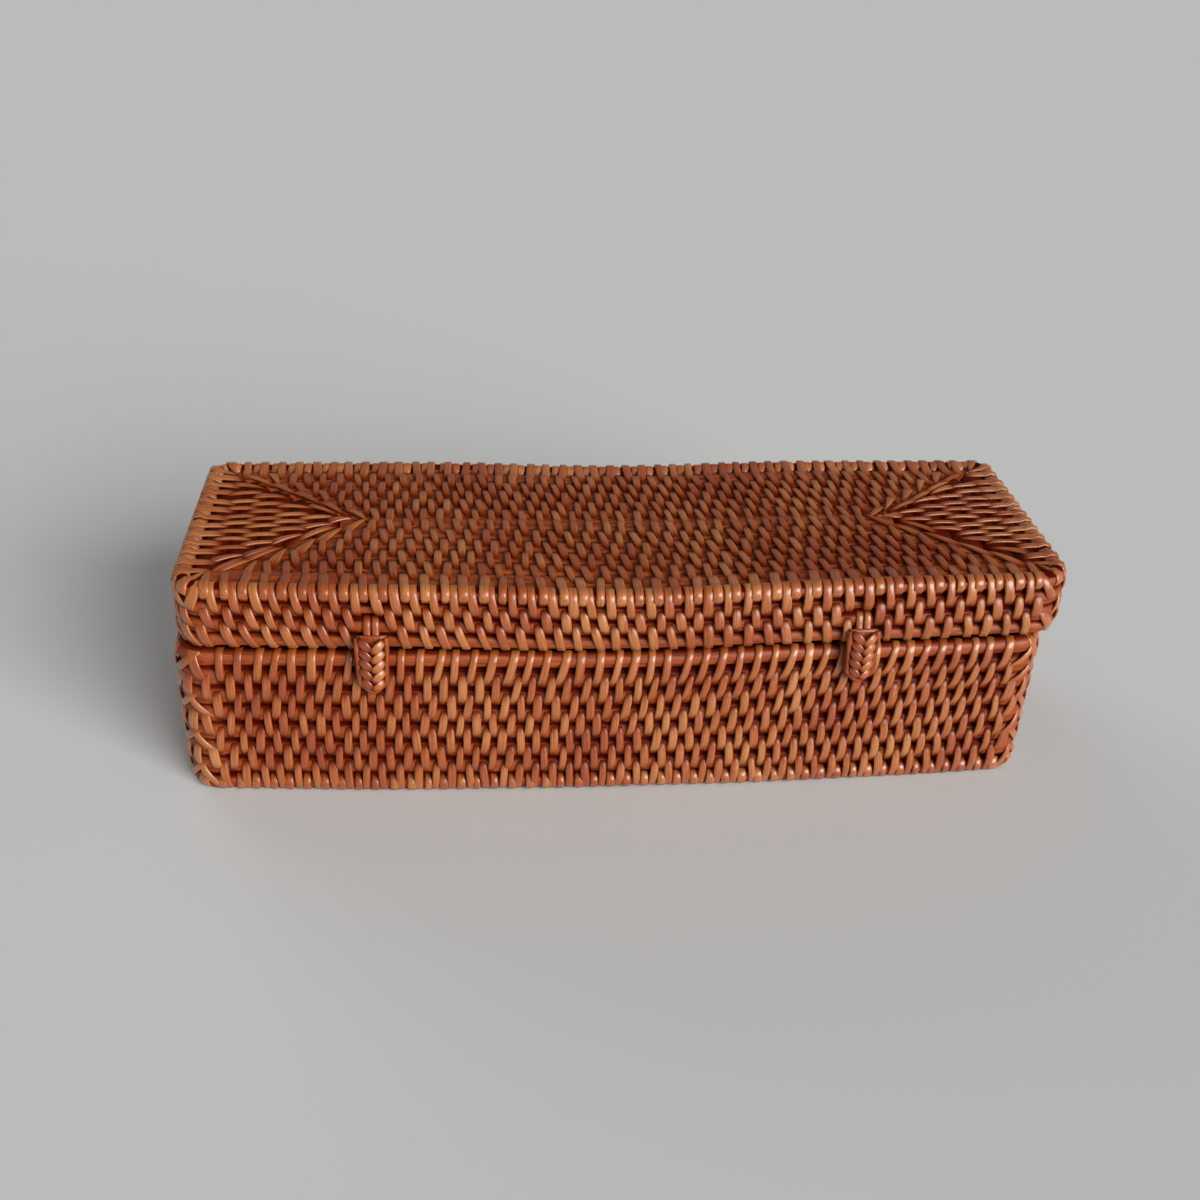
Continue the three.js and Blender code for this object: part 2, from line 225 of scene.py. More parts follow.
def cane_material():
    material = bpy.data.materials.new("lacquered_rattan_cane")
    material.use_nodes = True
    tree = material.node_tree
    shader = tree.nodes["Principled BSDF"]
    along, around, gap, shade = [
        add(tree, "ShaderNodeAttribute", {"attribute_name": name}).outputs[2]
        for name in ("along", "around", "gap", "shade")]
    place = add(tree, "ShaderNodeCombineXYZ", sockets={0: along, 1: around}).outputs[0]
    place = add(tree, "ShaderNodeVectorMath", {"operation": "MULTIPLY"}, {
        0: place, 1: (1 / (PORE_LENGTH * MM), PORES_ROUND_CANE, 0.0)}).outputs[0]
    pores = add(tree, "ShaderNodeTexNoise", sockets={
        "Vector": place, "Scale": 1.0, "Detail": PORE_DETAIL}).outputs[0]
    lacquer = add(tree, "ShaderNodeValToRGB", sockets={0: pores})
    set_stops(lacquer, CANE_SHADES)
    # Painted shade in the grooves, and where a path's `shade` asks for it.
    groove = add(tree, "ShaderNodeMapRange", {"interpolation_type": "SMOOTHSTEP"}, {
        0: gap, 1: GROOVE_RANGE[0], 2: GROOVE_RANGE[1]}).outputs[0]
    darkening = add(tree, "ShaderNodeMath", {"operation": "MAXIMUM"}, {0: groove, 1: shade}).outputs[0]
    shaded = add(tree, "ShaderNodeMix", {"data_type": "RGBA"}, {
        0: darkening, 6: lacquer.outputs[0], 7: linear(TUCK_SHADE)}).outputs[2]
    tree.links.new(shaded, shader.inputs["Base Color"])
    shine = add(tree, "ShaderNodeMapRange", sockets={0: darkening, 3: UNSHADED_SHINE, 4: DULL})
    shader.inputs["Specular IOR Level"].default_value = CANE_SHINE
    tree.links.new(shine.outputs[0], shader.inputs["Specular IOR Level"])
    bump = add(tree, "ShaderNodeBump", sockets={
        "Strength": PORE_BUMP, "Distance": PORE_RELIEF * MM, "Height": pores})
    tree.links.new(bump.outputs[0], shader.inputs["Normal"])
    shader.inputs["Roughness"].default_value = CANE_ROUGHNESS
    shader.inputs["IOR"].default_value = LACQUER_IOR
    return material


cane_finish = cane_material()
print("made", cane_finish.name)

# %% [markdown]
# ## Growing a mesh from a node tree
# Geometry Nodes suit basketry, because the same stitch follows a path some thousand times. Each
# tree has named inputs. A carrier object holds the path, the modifier's inputs are filled by their
# sockets' identifiers, and the evaluated result becomes a plain mesh. A path's points carry the
# values that the trees read, such as `girth`, with a plain value where a path says nothing.

# %% Tree and mesh helpers
def new_tree(name, inputs):
    tree = bpy.data.node_groups.new(name, "GeometryNodeTree")
    for label, kind in inputs:
        tree.interface.new_socket(label, in_out="INPUT", socket_type=kind)
    tree.interface.new_socket("Geometry", in_out="OUTPUT", socket_type="NodeSocketGeometry")
    return tree


def grow(tree, path_mesh, inputs):
    carrier = bpy.data.objects.new("carrier", path_mesh)
    scene.collection.objects.link(carrier)
    modifier = carrier.modifiers.new("grow", "NODES")
    modifier.node_group = tree
    for item in tree.interface.items_tree:
        if item.in_out == "INPUT" and item.name in inputs:
            modifier[item.identifier] = inputs[item.name]
    graph = bpy.context.evaluated_depsgraph_get()
    mesh = bpy.data.meshes.new_from_object(carrier.evaluated_get(graph))
    carrier.modifiers.remove(modifier)
    bpy.data.objects.remove(carrier)
    return mesh


def path_from(points, attributes, closed=True):
    mesh = bpy.data.meshes.new("path")
    count = len(points)
    edges = [(i, (i + 1) % count) for i in range(count if closed else count - 1)]
    mesh.from_pydata([p * MM for p in points], edges, [])
    plain = {"girth": [1.0] * count, "shade": [0.0] * count, "stand": [1.0] * count}
    for name, values in {**plain, **attributes}.items():
        is_vector = isinstance(values[0], Vector)
        layer = mesh.attributes.new(name, "FLOAT_VECTOR" if is_vector else "FLOAT", "POINT")
        for item, value in zip(layer.data, values):
            if is_vector:
                item.vector = value * MM
            else:
                item.value = value
    return mesh


print("helpers ready")

# %% [markdown]
# ## The cane tree
# A cane is a path with an oval section. Curve to Mesh sweeps the section along the path, with its
# upright axis kept vertical, and `girth` swells it. The distance `along` the cane and the turn
# `around` it are stored for the material, and so is `gap`, which is largest on the sides where the
# next canes touch: above and below in a wall, left and right in a panel that lies flat. There the
# material paints shade in the grooves, and an input scales the gap, so that this painted shade is
# weaker on a rim or a panel.

# %% Cane tree
SECTION_POINTS = 12


def make_cane_tree():
    tree = new_tree("cane_along_path", [
        ("Geometry", "NodeSocketGeometry"), ("Half width", "NodeSocketFloat"),
        ("Half height", "NodeSocketFloat"), ("Lies flat", "NodeSocketFloat"),
        ("Groove shade", "NodeSocketFloat"), ("Finish", "NodeSocketMaterial")])
    given = add(tree, "NodeGroupInput").outputs
    curve = add(tree, "GeometryNodeMeshToCurve", sockets={0: given["Geometry"]}).outputs[0]
    upright = add(tree, "GeometryNodeSetCurveNormal", {"mode": "Z_UP"}, {0: curve}).outputs[0]
    travelled = add(tree, "GeometryNodeSplineParameter").outputs
    marked = add(tree, "GeometryNodeStoreNamedAttribute", {"data_type": "FLOAT", "domain": "POINT"}, {
        0: upright, 2: "along", 3: travelled[1]}).outputs[0]
    circle = add(tree, "GeometryNodeCurvePrimitiveCircle", sockets={
        0: SECTION_POINTS, 4: 1.0}).outputs[0]
    turned = add(tree, "GeometryNodeStoreNamedAttribute", {"data_type": "FLOAT", "domain": "POINT"}, {
        0: circle, 2: "around", 3: travelled[0]}).outputs[0]
    spot = add(tree, "GeometryNodeInputPosition").outputs[0]
    sizes = add(tree, "ShaderNodeVectorMath", {"operation": "ABSOLUTE"}, {0: spot}).outputs[0]
    sides = add(tree, "ShaderNodeSeparateXYZ", sockets={0: sizes}).outputs
    # `gap` marks the sides that the material paints in shade.
    gap = add(tree, "ShaderNodeMix", sockets={
        0: given["Lies flat"], 2: sides[1], 3: sides[0]}).outputs[0]
    gap = add(tree, "ShaderNodeMath", {"operation": "MULTIPLY"}, {0: gap, 1: given["Groove shade"]}).outputs[0]
    turned = add(tree, "GeometryNodeStoreNamedAttribute", {"data_type": "FLOAT", "domain": "POINT"}, {
        0: turned, 2: "gap", 3: gap}).outputs[0]
    oval_size = add(tree, "ShaderNodeCombineXYZ", sockets={
        0: given["Half width"], 1: given["Half height"], 2: 1.0}).outputs[0]
    oval = add(tree, "GeometryNodeTransform", sockets={0: turned, 3: oval_size}).outputs[0]
    girth = add(tree, "GeometryNodeInputNamedAttribute", {"data_type": "FLOAT"}, {0: "girth"}).outputs[0]
    swept = add(tree, "GeometryNodeCurveToMesh", sockets={
        0: marked, 1: oval, 2: girth, 3: True}).outputs[0]
    smooth = add(tree, "GeometryNodeSetShadeSmooth", sockets={0: swept}).outputs[0]
    real = add(tree, "GeometryNodeRealizeInstances", sockets={0: smooth}).outputs[0]
    done = add(tree, "GeometryNodeSetMaterial", sockets={0: real, 2: given["Finish"]}).outputs[0]
    add(tree, "NodeGroupOutput", sockets={0: done})
    return tree


cane_tree = make_cane_tree()
print("made", cane_tree.name, "with", len(cane_tree.nodes), "nodes")

# %% [markdown]
# ## One stitch
# A stitch is a loop of half-round strip that goes round two canes. It is drawn once, straight and
# upright: Y runs from the near cane to the far one and Z stands out from the work. The strip
# arches a little between the canes, turns squarely round each, and narrows where it dives under
# its neighbours. `hook` pulls the near end sideways, as a tight pull does. The loop is a sleeve of
# section rows, so one helper makes its faces, and the same helper serves the tabs.

# %% Sleeves and patterns
patterns = []


def sleeve_faces(count, rows, closed):
    faces = []
    for i in range(count if closed else count - 1):
        here = i * rows
        there = (i + 1) % count * rows
        for j in range(rows):
            k = (j + 1) % rows
            faces.append((here + j, here + k, there + k, there + j))
    if not closed:
        faces.append(tuple(reversed(range(rows))))
        faces.append(tuple((count - 1) * rows + j for j in range(rows)))
    return faces


def mesh_from(name, points, faces, marks):
    mesh = bpy.data.meshes.new(name)
    mesh.from_pydata(points, [], faces)
    for label, values in marks.items():
        mesh.attributes.new(label, "FLOAT", "POINT").data.foreach_set("value", values)
    return mesh


def pattern_from(name, points, faces, marks):
    pattern = bpy.data.objects.new(name, mesh_from(name, points, faces, marks))
    scene.collection.objects.link(pattern)
    patterns.append(pattern)
    return pattern


print("a closed sleeve of 3 rows of 4 has", len(sleeve_faces(3, 4, True)), "faces")

# %% Strip loop
STRIP_THICKNESS = 0.42
ARCH = 0.45
ARCH_SHARES = (0.5, 0.0, -0.5)
END_SQUARENESS = 0.7
END_TAPER = 0.2
ARC_STEPS = 4
STRIP_SECTION = [(-1.0, 0.0), (-0.92, 0.66), (-0.6, 0.97), (0.6, 0.97), (0.92, 0.66), (1.0, 0.0)]


def loop_outline(half_pitch, near_height, far_height, cane_depth, far_drop, arch):
    far_end = []
    near_end = []
    for i in range(ARC_STEPS + 1):
        angle = math.pi * (i / ARC_STEPS - 0.5)
        n = cane_depth * math.copysign(abs(math.sin(angle)) ** END_SQUARENESS, angle)
        far_end.append((half_pitch + far_height * math.cos(angle), n * far_drop if n < 0 else n))
        near_end.append((-half_pitch - near_height * math.cos(angle), -n))
    front = [(half_pitch * v, cane_depth + arch * (1 - v * v)) for v in ARCH_SHARES]
    back = [(-v, -n) for v, n in front]
    outline = far_end + front + near_end + back
    start = ARC_STEPS // 2
    return outline[start:] + outline[:start]


def strip_loop(name, half_pitch, cane_heights, cane_depth, width, near_shows=False, far_shows=False,
               far_drop=1.0, thickness=STRIP_THICKNESS, arch=ARCH, hook=0.0, darkening=0.0):
    near_height, far_height = cane_heights
    outline = loop_outline(half_pitch, near_height, far_height, cane_depth, far_drop, arch)
    count = len(outline)
    points = []
    marks = {"across": [], "around": [], "tuck": []}
    travelled = 0.0
    for i, (v, n) in enumerate(outline):
        before = Vector(outline[i - 1])
        after = Vector(outline[(i + 1) % count])
        tangent = (after - before).normalized()
        outward = Vector((tangent.y, -tangent.x))
        travelled += (Vector((v, n)) - before).length if i else 0.0
        end_height = far_height if v > 0 else near_height
        hidden = max(0.0, (abs(v) - half_pitch / 2) / (end_height + half_pitch / 2))
        if (near_shows and v < 0) or (far_shows and v > 0):
            hidden = 0.0
        half_width = width / 2 * (1 - END_TAPER * hidden ** 3)
        hooked = hook * max(0.0, -v / (half_pitch + near_height)) ** 2
        for side, rise in STRIP_SECTION:
            lift = outward * rise * thickness
            points.append(Vector((side * half_width - hooked, v + lift.x, n + lift.y)) * MM)
            marks["across"].append(side)
            marks["around"].append(travelled * MM)
            # `tuck` is painted shade towards the ends that dive under the neighbours, plus any even share
            # the caller asks for.
            marks["tuck"].append(darkening + (1 - darkening) * hidden ** 2)
    return pattern_from(name, points, sleeve_faces(count, len(STRIP_SECTION), True), marks)


print("a stitch has", len(STRIP_SECTION), "points across")

# %% [markdown]
# ## The binding tree
# The tree measures the path, lays one point per stitch along a straight line of that length, copies
# the stitch to each point with a small random wander, and then bends the straight row on to the
# path. Instances on the path itself would be simpler, but they stay straight at the corners. The
# first half makes the straight row. It reads from the path how far stitches lean (`tan_lean`), are
# moved along it (`crowd`), widen (`girth`) and stand out (`stand`), and `keep` leaves gaps.

# %% A straight row of stitches
LEAST_BREADTH = 0.84
MOST_BREADTH = 1.1
LEAN_SEED_STEP = 7.0
BREADTH_SEED_STEP = 13.0


def stitch_line(tree, given, length):
    share = add(tree, "ShaderNodeMath", {"operation": "DIVIDE"}, {
        0: length, 1: given["Pitch"]}).outputs[0]
    count = add(tree, "ShaderNodeMath", {"operation": "ROUND"}, {0: share}).outputs[0]
    spacing = add(tree, "ShaderNodeMath", {"operation": "DIVIDE"}, {0: length, 1: count}).outputs[0]
    start = add(tree, "ShaderNodeMath", {"operation": "MULTIPLY"}, {
        0: spacing, 1: given["Phase"]}).outputs[0]
    first = add(tree, "ShaderNodeCombineXYZ", sockets={0: start}).outputs[0]
    step = add(tree, "ShaderNodeCombineXYZ", sockets={0: spacing}).outputs[0]
    return add(tree, "GeometryNodeMeshLine", {"mode": "OFFSET"}, {
        0: count, 2: first, 3: step}).outputs[0]


def straight_row(tree, given, curve, length):
    stood = add(tree, "GeometryNodeInputPosition").outputs[0]
    stood_x = add(tree, "ShaderNodeSeparateXYZ", sockets={0: stood}).outputs[0]
    inside = add(tree, "ShaderNodeMath", {"operation": "WRAP"}, {
        0: stood_x, 1: length, 2: 0.0}).outputs[0]
    places = {"crowd": stood_x, "keep": inside, "tan_lean": inside, "girth": inside, "stand": inside}
    read = {}
    for name, place in places.items():
        value = add(tree, "GeometryNodeInputNamedAttribute", {"data_type": "FLOAT"}, {0: name}).outputs[0]
        read[name] = add(tree, "GeometryNodeSampleCurve", {"data_type": "FLOAT", "mode": "LENGTH"}, {
            0: curve, 1: value, 3: place}).outputs[0]
    drift = {}
    for name, seed_step in (("Wander", 0.0), ("Lean wander", LEAN_SEED_STEP)):
        least = add(tree, "ShaderNodeMath", {"operation": "MULTIPLY"}, {
            0: given[name], 1: -1.0}).outputs[0]
        seed = add(tree, "ShaderNodeMath", {"operation": "ADD"}, {
            0: given["Seed"], 1: seed_step}).outputs[0]
        drift[name] = add(tree, "FunctionNodeRandomValue", {"data_type": "FLOAT"}, {
            2: least, 3: given[name], 8: seed}).outputs[1]
    shift = add(tree, "ShaderNodeMath", {"operation": "ADD"}, {
        0: drift["Wander"], 1: read["crowd"]}).outputs[0]
    aside = add(tree, "ShaderNodeCombineXYZ", sockets={0: shift}).outputs[0]
    moved = add(tree, "GeometryNodeSetPosition", sockets={
        0: stitch_line(tree, given, length), 3: aside}).outputs[0]
    absent = add(tree, "FunctionNodeCompare", {"data_type": "FLOAT", "operation": "LESS_THAN"}, {
        0: read["keep"], 1: 0.5}).outputs[0]
    kept = add(tree, "GeometryNodeDeleteGeometry", {"domain": "POINT"}, {0: moved, 1: absent}).outputs[0]
    number = add(tree, "GeometryNodeInputIndex").outputs[0]
    shade = add(tree, "FunctionNodeRandomValue", {"data_type": "FLOAT"}, {
        2: 0.0, 3: 1.0, 7: number, 8: given["Seed"]}).outputs[1]
    toned = add(tree, "GeometryNodeStoreNamedAttribute", {"data_type": "FLOAT", "domain": "POINT"}, {
        0: kept, 2: "tone", 3: shade}).outputs[0]
    lean = add(tree, "ShaderNodeMath", {"operation": "ADD"}, {
        0: read["tan_lean"], 1: drift["Lean wander"]}).outputs[0]
    leaned = add(tree, "GeometryNodeStoreNamedAttribute", {"data_type": "FLOAT", "domain": "POINT"}, {
        0: toned, 2: "lean", 3: lean}).outputs[0]
    breadth_seed = add(tree, "ShaderNodeMath", {"operation": "ADD"}, {
        0: given["Seed"], 1: BREADTH_SEED_STEP}).outputs[0]
    own_breadth = add(tree, "FunctionNodeRandomValue", {"data_type": "FLOAT"}, {
        2: LEAST_BREADTH, 3: MOST_BREADTH, 8: breadth_seed}).outputs[1]
    breadth = add(tree, "ShaderNodeMath", {"operation": "MULTIPLY"}, {
        0: own_breadth, 1: read["girth"]}).outputs[0]
    stitch_size = add(tree, "ShaderNodeCombineXYZ", sockets={
        0: breadth, 1: 1.0, 2: read["stand"]}).outputs[0]
    stitch = add(tree, "GeometryNodeObjectInfo", sockets={0: given["Strip"]}).outputs[4]
    copies = add(tree, "GeometryNodeInstanceOnPoints", sockets={
        0: leaned, 2: stitch, 6: stitch_size}).outputs[0]
    return add(tree, "GeometryNodeRealizeInstances", sockets={0: copies}).outputs[0]


print("stitches are", LEAST_BREADTH, "to", MOST_BREADTH, "times as wide as the pattern")

# %% [markdown]
# ## Bending the row
# The second half moves every point of the straight row. Its X, with the lean of its stitch, becomes
# the distance along the path. Its Y becomes a step across the path, by `span`, which runs from one
# cane to the next. Its Z becomes the height above the work, square to both.

# %% Binding tree
def bent_row(tree, given, curve, length, straight):
    stood = add(tree, "GeometryNodeInputPosition").outputs[0]
    along, across, above = add(tree, "ShaderNodeSeparateXYZ", sockets={0: stood}).outputs
    lean = add(tree, "GeometryNodeInputNamedAttribute", {"data_type": "FLOAT"}, {0: "lean"}).outputs[0]
    shifted = add(tree, "ShaderNodeMath", {"operation": "MULTIPLY_ADD"}, {
        0: across, 1: lean, 2: along}).outputs[0]
    place = add(tree, "ShaderNodeMath", {"operation": "WRAP"}, {
        0: shifted, 1: length, 2: 0.0}).outputs[0]
    span = add(tree, "GeometryNodeInputNamedAttribute", {"data_type": "FLOAT_VECTOR"}, {
        0: "span"}).outputs[0]
    span, point, tangent = add(tree, "GeometryNodeSampleCurve", {
        "data_type": "FLOAT_VECTOR", "mode": "LENGTH"}, {0: curve, 1: span, 3: place}).outputs[:3]
    unit = add(tree, "ShaderNodeMath", {"operation": "DIVIDE"}, {
        0: across, 1: given["Half pitch"]}).outputs[0]
    climb = add(tree, "ShaderNodeVectorMath", {"operation": "SCALE"}, {0: span, 3: unit}).outputs[0]
    square = add(tree, "ShaderNodeVectorMath", {"operation": "CROSS_PRODUCT"}, {
        0: tangent, 1: span}).outputs[0]
    outward = add(tree, "ShaderNodeVectorMath", {"operation": "NORMALIZE"}, {0: square}).outputs[0]
    stand = add(tree, "ShaderNodeVectorMath", {"operation": "SCALE"}, {0: outward, 3: above}).outputs[0]
    on_path = add(tree, "ShaderNodeVectorMath", {"operation": "ADD"}, {0: point, 1: climb}).outputs[0]
    on_work = add(tree, "ShaderNodeVectorMath", {"operation": "ADD"}, {0: on_path, 1: stand}).outputs[0]
    return add(tree, "GeometryNodeSetPosition", sockets={0: straight, 2: on_work}).outputs[0]


def make_binding_tree():
    tree = new_tree("binding_row", [
        ("Geometry", "NodeSocketGeometry"), ("Strip", "NodeSocketObject"), ("Pitch", "NodeSocketFloat"),
        ("Phase", "NodeSocketFloat"), ("Half pitch", "NodeSocketFloat"), ("Wander", "NodeSocketFloat"),
        ("Lean wander", "NodeSocketFloat"), ("Seed", "NodeSocketInt"), ("Finish", "NodeSocketMaterial")])
    given = add(tree, "NodeGroupInput").outputs
    curve = add(tree, "GeometryNodeMeshToCurve", sockets={0: given["Geometry"]}).outputs[0]
    length = add(tree, "GeometryNodeCurveLength", sockets={0: curve}).outputs[0]
    straight = straight_row(tree, given, curve, length)
    bent = bent_row(tree, given, curve, length, straight)
    smooth = add(tree, "GeometryNodeSetShadeSmooth", sockets={0: bent}).outputs[0]
    done = add(tree, "GeometryNodeSetMaterial", sockets={0: smooth, 2: given["Finish"]}).outputs[0]
    add(tree, "NodeGroupOutput", sockets={0: done})
    return tree


binding_tree = make_binding_tree()
print("made", binding_tree.name, "with", len(binding_tree.nodes), "nodes")

# %% [markdown]
# ## The plan of a course
# Seen from above, each course is a long rectangle with round corners and a front side that bows out
# a little. The list of points runs round it counter-clockwise from the front left corner. The work
# has also sagged at mid-length, more near the top, and every cane wanders a little: a few sine
# waves with seeded random sizes give that, and close up without a step.

# %% Sizes of the case, in millimetres
BASE_HALF_LENGTH = 92.0
LID_HALF_LENGTH = 92.5
HALF_DEPTH = 28.75
CASE_HEIGHT = 50.8
FRONT_BOW = 2.9
WALL_THICKNESS = 4.4
WALL_CENTRE = HALF_DEPTH - WALL_THICKNESS / 2
CORNER_RADIUS = 5.0
BACK_SHARPNESS = 0.55
SAG = 1.1
SAG_REACH = 46.0
print("the case is", 2 * LID_HALF_LENGTH, "mm long and", CASE_HEIGHT, "mm high")

# %% Plan of a course
PATH_STEP = 1.2
CORNER_STEPS = 8
CORNERS = ((1, -1), (1, 1), (-1, 1), (-1, -1))
WAVES = (1, 2, 4)
WAVE_SIZES = (0.6, 1.4)
WAVE_TURNS = (2, 3)
FULL_TURN = 6.28


def sag_at(x, z):
    if abs(x) > SAG_REACH:
        return 0.0
    return SAG * z / CASE_HEIGHT * math.cos(math.pi * x / (2 * SAG_REACH)) ** 2


def ring(half_x, half_y, radius, bow):
    corners = []
    for turn, (side_x, side_y) in enumerate(CORNERS):
        own_radius = radius if side_y < 0 else BACK_SHARPNESS * radius
        arc = []
        for i in range(CORNER_STEPS + 1):
            angle = (turn - 1 + i / CORNER_STEPS) * math.pi / 2
            arc.append((side_x * (half_x - own_radius) + own_radius * math.cos(angle),
                        side_y * (half_y - own_radius) + own_radius * math.sin(angle)))
        corners.append(arc)
    points = []
    for turn, arc in enumerate(corners):
        (x0, y0), (x1, y1) = corners[turn - 1][-1], arc[0]
        steps = max(2, round(math.dist((x0, y0), (x1, y1)) / PATH_STEP))
        dip = bow if turn == 0 else 0.0
        for i in range(1, steps):
            t = i / steps
            points.append((x0 + (x1 - x0) * t, y0 + (y1 - y0) * t - dip * 4 * t * (1 - t)))
        points += arc
    return points


def wander_of(seed, size):
    dice = random.Random(seed)
    waves = []
    for k in WAVES:
        high = dice.uniform(*WAVE_SIZES) * size / k
        times = k * dice.randint(*WAVE_TURNS)
        waves.append((high, times, dice.uniform(0, FULL_TURN)))
    return lambda turn: sum(high * math.sin(times * turn + shift) for high, times, shift in waves)


wall_plan = ring(BASE_HALF_LENGTH - WALL_THICKNESS / 2, WALL_CENTRE, CORNER_RADIUS, FRONT_BOW)
print("a wall course has", len(wall_plan), "path points")

# %% [markdown]
# ## Making a course
# A course is its cane and the row of stitches that ties it to the next course. Both become one
# piece, which stands for the solid of that course and moves with the same body. At each corner the
# weaver pulled the stitches tight round the turn: they move towards it, lean to both sides of a
# line just past the corner on the short end, and narrow a little, while the canes under them swell.

# %% Corner helpers
CORNER_WIDTH = 1.7
CORNER_TURN = 0.9
CORNER_SWELL = -0.08
CORNER_SHIFT = 1.3


def eased(share):
    t = min(max(share, 0.0), 1.0)
    return t * t * (3 - 2 * t)


def measured(points):
    travel = [0.0]
    for i in range(1, len(points)):
        travel.append(travel[-1] + (points[i] - points[i - 1]).length)
    return travel, travel[-1] + (points[0] - points[-1]).length


def corner_gaps(points, half_x, half_y, shift):
    travel, total = measured(points)
    marks = []
    for side_x, side_y in CORNERS:
        reach = [side_x * (p.x - shift) / half_x + side_y * p.y / half_y for p in points]
        marks.append(travel[reach.index(max(reach))] - CORNER_SHIFT * side_x * side_y)
    gaps = []
    for place in travel:
        gaps.append(min(((place - mark + total / 2) % total - total / 2 for mark in marks), key=abs))
    return gaps


def corner_swing(gaps):
    swing = []
    swell = []
    for gap in gaps:
        near = 1 - eased((abs(gap) - CORNER_WIDTH) / CORNER_TURN)
        swing.append(-math.copysign(near * eased(abs(gap) / CORNER_TURN), gap))
        swell.append(1 + CORNER_SWELL * near)
    return swing, swell


print("stitches lean over", 2 * CORNER_WIDTH, "mm at each corner")

# %% Course helpers
STITCH_PITCH = 3.6
STITCH_WANDER = 0.32
LEAN_WANDER = 0.11


def bind(path_mesh, strip, half_pitch, phase, seed, wander=STITCH_WANDER, lean_wander=LEAN_WANDER,
         pitch=STITCH_PITCH):
    return grow(binding_tree, path_mesh, {
        "Strip": strip, "Pitch": pitch * MM, "Phase": phase, "Half pitch": half_pitch * MM,
        "Wander": wander * MM, "Lean wander": lean_wander, "Seed": seed, "Finish": strip_finish})


# The last argument sets how strong the painted shade is in the cane's grooves.
def lay_cane(path_mesh, half_width, half_height, lies_flat=0.0, groove_shade=1.0):
    return grow(cane_tree, path_mesh, {
        "Half width": half_width * MM, "Half height": half_height * MM, "Lies flat": lies_flat,
        "Groove shade": groove_shade, "Finish": cane_finish})


def piece_from(name, meshes, nodes, body):
    parts = [bpy.data.objects.new(name, mesh) for mesh in meshes]
    for part in parts:
        scene.collection.objects.link(part)
    if len(parts) > 1:
        with bpy.context.temp_override(active_object=parts[0], object=parts[0],
                                       selected_objects=parts, selected_editable_objects=parts):
            bpy.ops.object.join()
    piece = parts[0]
    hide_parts(*nodes)
    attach(piece, body)
    print(piece.name, len(piece.data.polygons), "faces")


print("stitches are", STITCH_PITCH, "mm apart in a row")

# %% [markdown]
# ## Wall courses
# The base has eight courses, bound upwards, and the lid has four, bound downwards from its top
# edge. A row of stitches lies between each course and the next, and rows are half a stitch out of
# step, like bricks, also where they lean. Where a lashing or a tab goes round a cane, the stitches
# leave it bare and the canes beside it are thinner. The row beside a hinge lies flatter at the
# back, so that the lid can turn.

# %% Wall paths
WALL_RISE = 0.1
WALL_DRIFT = 0.07
DRIFT_SEED_STEP = 500
FREE_DEPTH = 40.0
HINGE_XS = {"left": -52.0, "right": 52.0}
TAB_XS = {"left": -51.0, "right": 49.6}
HINGE_BARE = 4.9
TAB_BARE = 2.6
SCOOP_SLOPE = 1.5


def wall_points(half_length, shift, height, seed):
    rise = wander_of(seed, WALL_RISE)
    drift = wander_of(seed + DRIFT_SEED_STEP, WALL_DRIFT)
    plan = ring(half_length - WALL_THICKNESS / 2, WALL_CENTRE, CORNER_RADIUS, FRONT_BOW)
    points = []
    for i, (x, y) in enumerate(plan):
        turn_share = 2 * math.pi * i / len(plan)
        freedom = eased((HALF_DEPTH - y) / FREE_DEPTH)
        z = height - sag_at(x, height) + freedom * rise(turn_share)
        points.append(Vector((x + shift, y * (1 + freedom * drift(turn_share) / HALF_DEPTH), z)))
    return points


def stitched(p, hinges, tabs):
    for x in HINGE_XS.values():
        if hinges and p.y > 0 and abs(p.x - x) < HINGE_BARE:
            return 0.0
    for x in TAB_XS.values():
        if tabs and p.y < 0 and abs(p.x - x) < TAB_BARE:
            return 0.0
    return 1.0


def girth_at(p, tab_girth, hinge_girth):
    xs, bare, girth = TAB_XS, TAB_BARE, tab_girth
    if p.y >= 0:
        xs, bare, girth = HINGE_XS, HINGE_BARE, hinge_girth
    near = max(1 - eased((abs(p.x - x) - bare) / SCOOP_SLOPE) for x in xs.values())
    return 1 - (1 - girth) * near


print("tabs at", list(TAB_XS.values()), "mm and hinges at", list(HINGE_XS.values()), "mm")

# %% Wall rows
WALL_CANE_DEPTH = 1.6
CORNER_PULL = 0.4
CORNER_REACH = 9.0
STRETCH_START = 100.0
STRETCH_MARGIN = 10.0
STRETCH_END = 2 * BASE_HALF_LENGTH - STRETCH_MARGIN
LEAN_REACH = 95.0
BACK_STAND = 0.84
BACK_START = 15.0
BACK_SLOPE = 8.0


def row_strips(name, wall):
    half = wall["pitch"] / 2
    width = wall["strip_width"]
    hook = wall["hook"]
    edge, inner, rim = wall["loop_heights"]
    first = strip_loop(f"{name}_edge_strip", half, (edge, inner), WALL_CANE_DEPTH, width,
                       near_shows=True)
    middle = strip_loop(f"{name}_strip", half, (inner, inner), WALL_CANE_DEPTH, width, hook=hook)
    last = strip_loop(f"{name}_rim_strip", half, (inner, rim), WALL_CANE_DEPTH, width,
                      far_shows=True, hook=hook)
    return first, middle, last


def stretch_at(travel, total, most):
    if travel < STRETCH_END:
        return most * eased((travel - STRETCH_START) / (STRETCH_END - STRETCH_START))
    return most * (1 - eased((travel - STRETCH_END) / (total - STRETCH_END)))


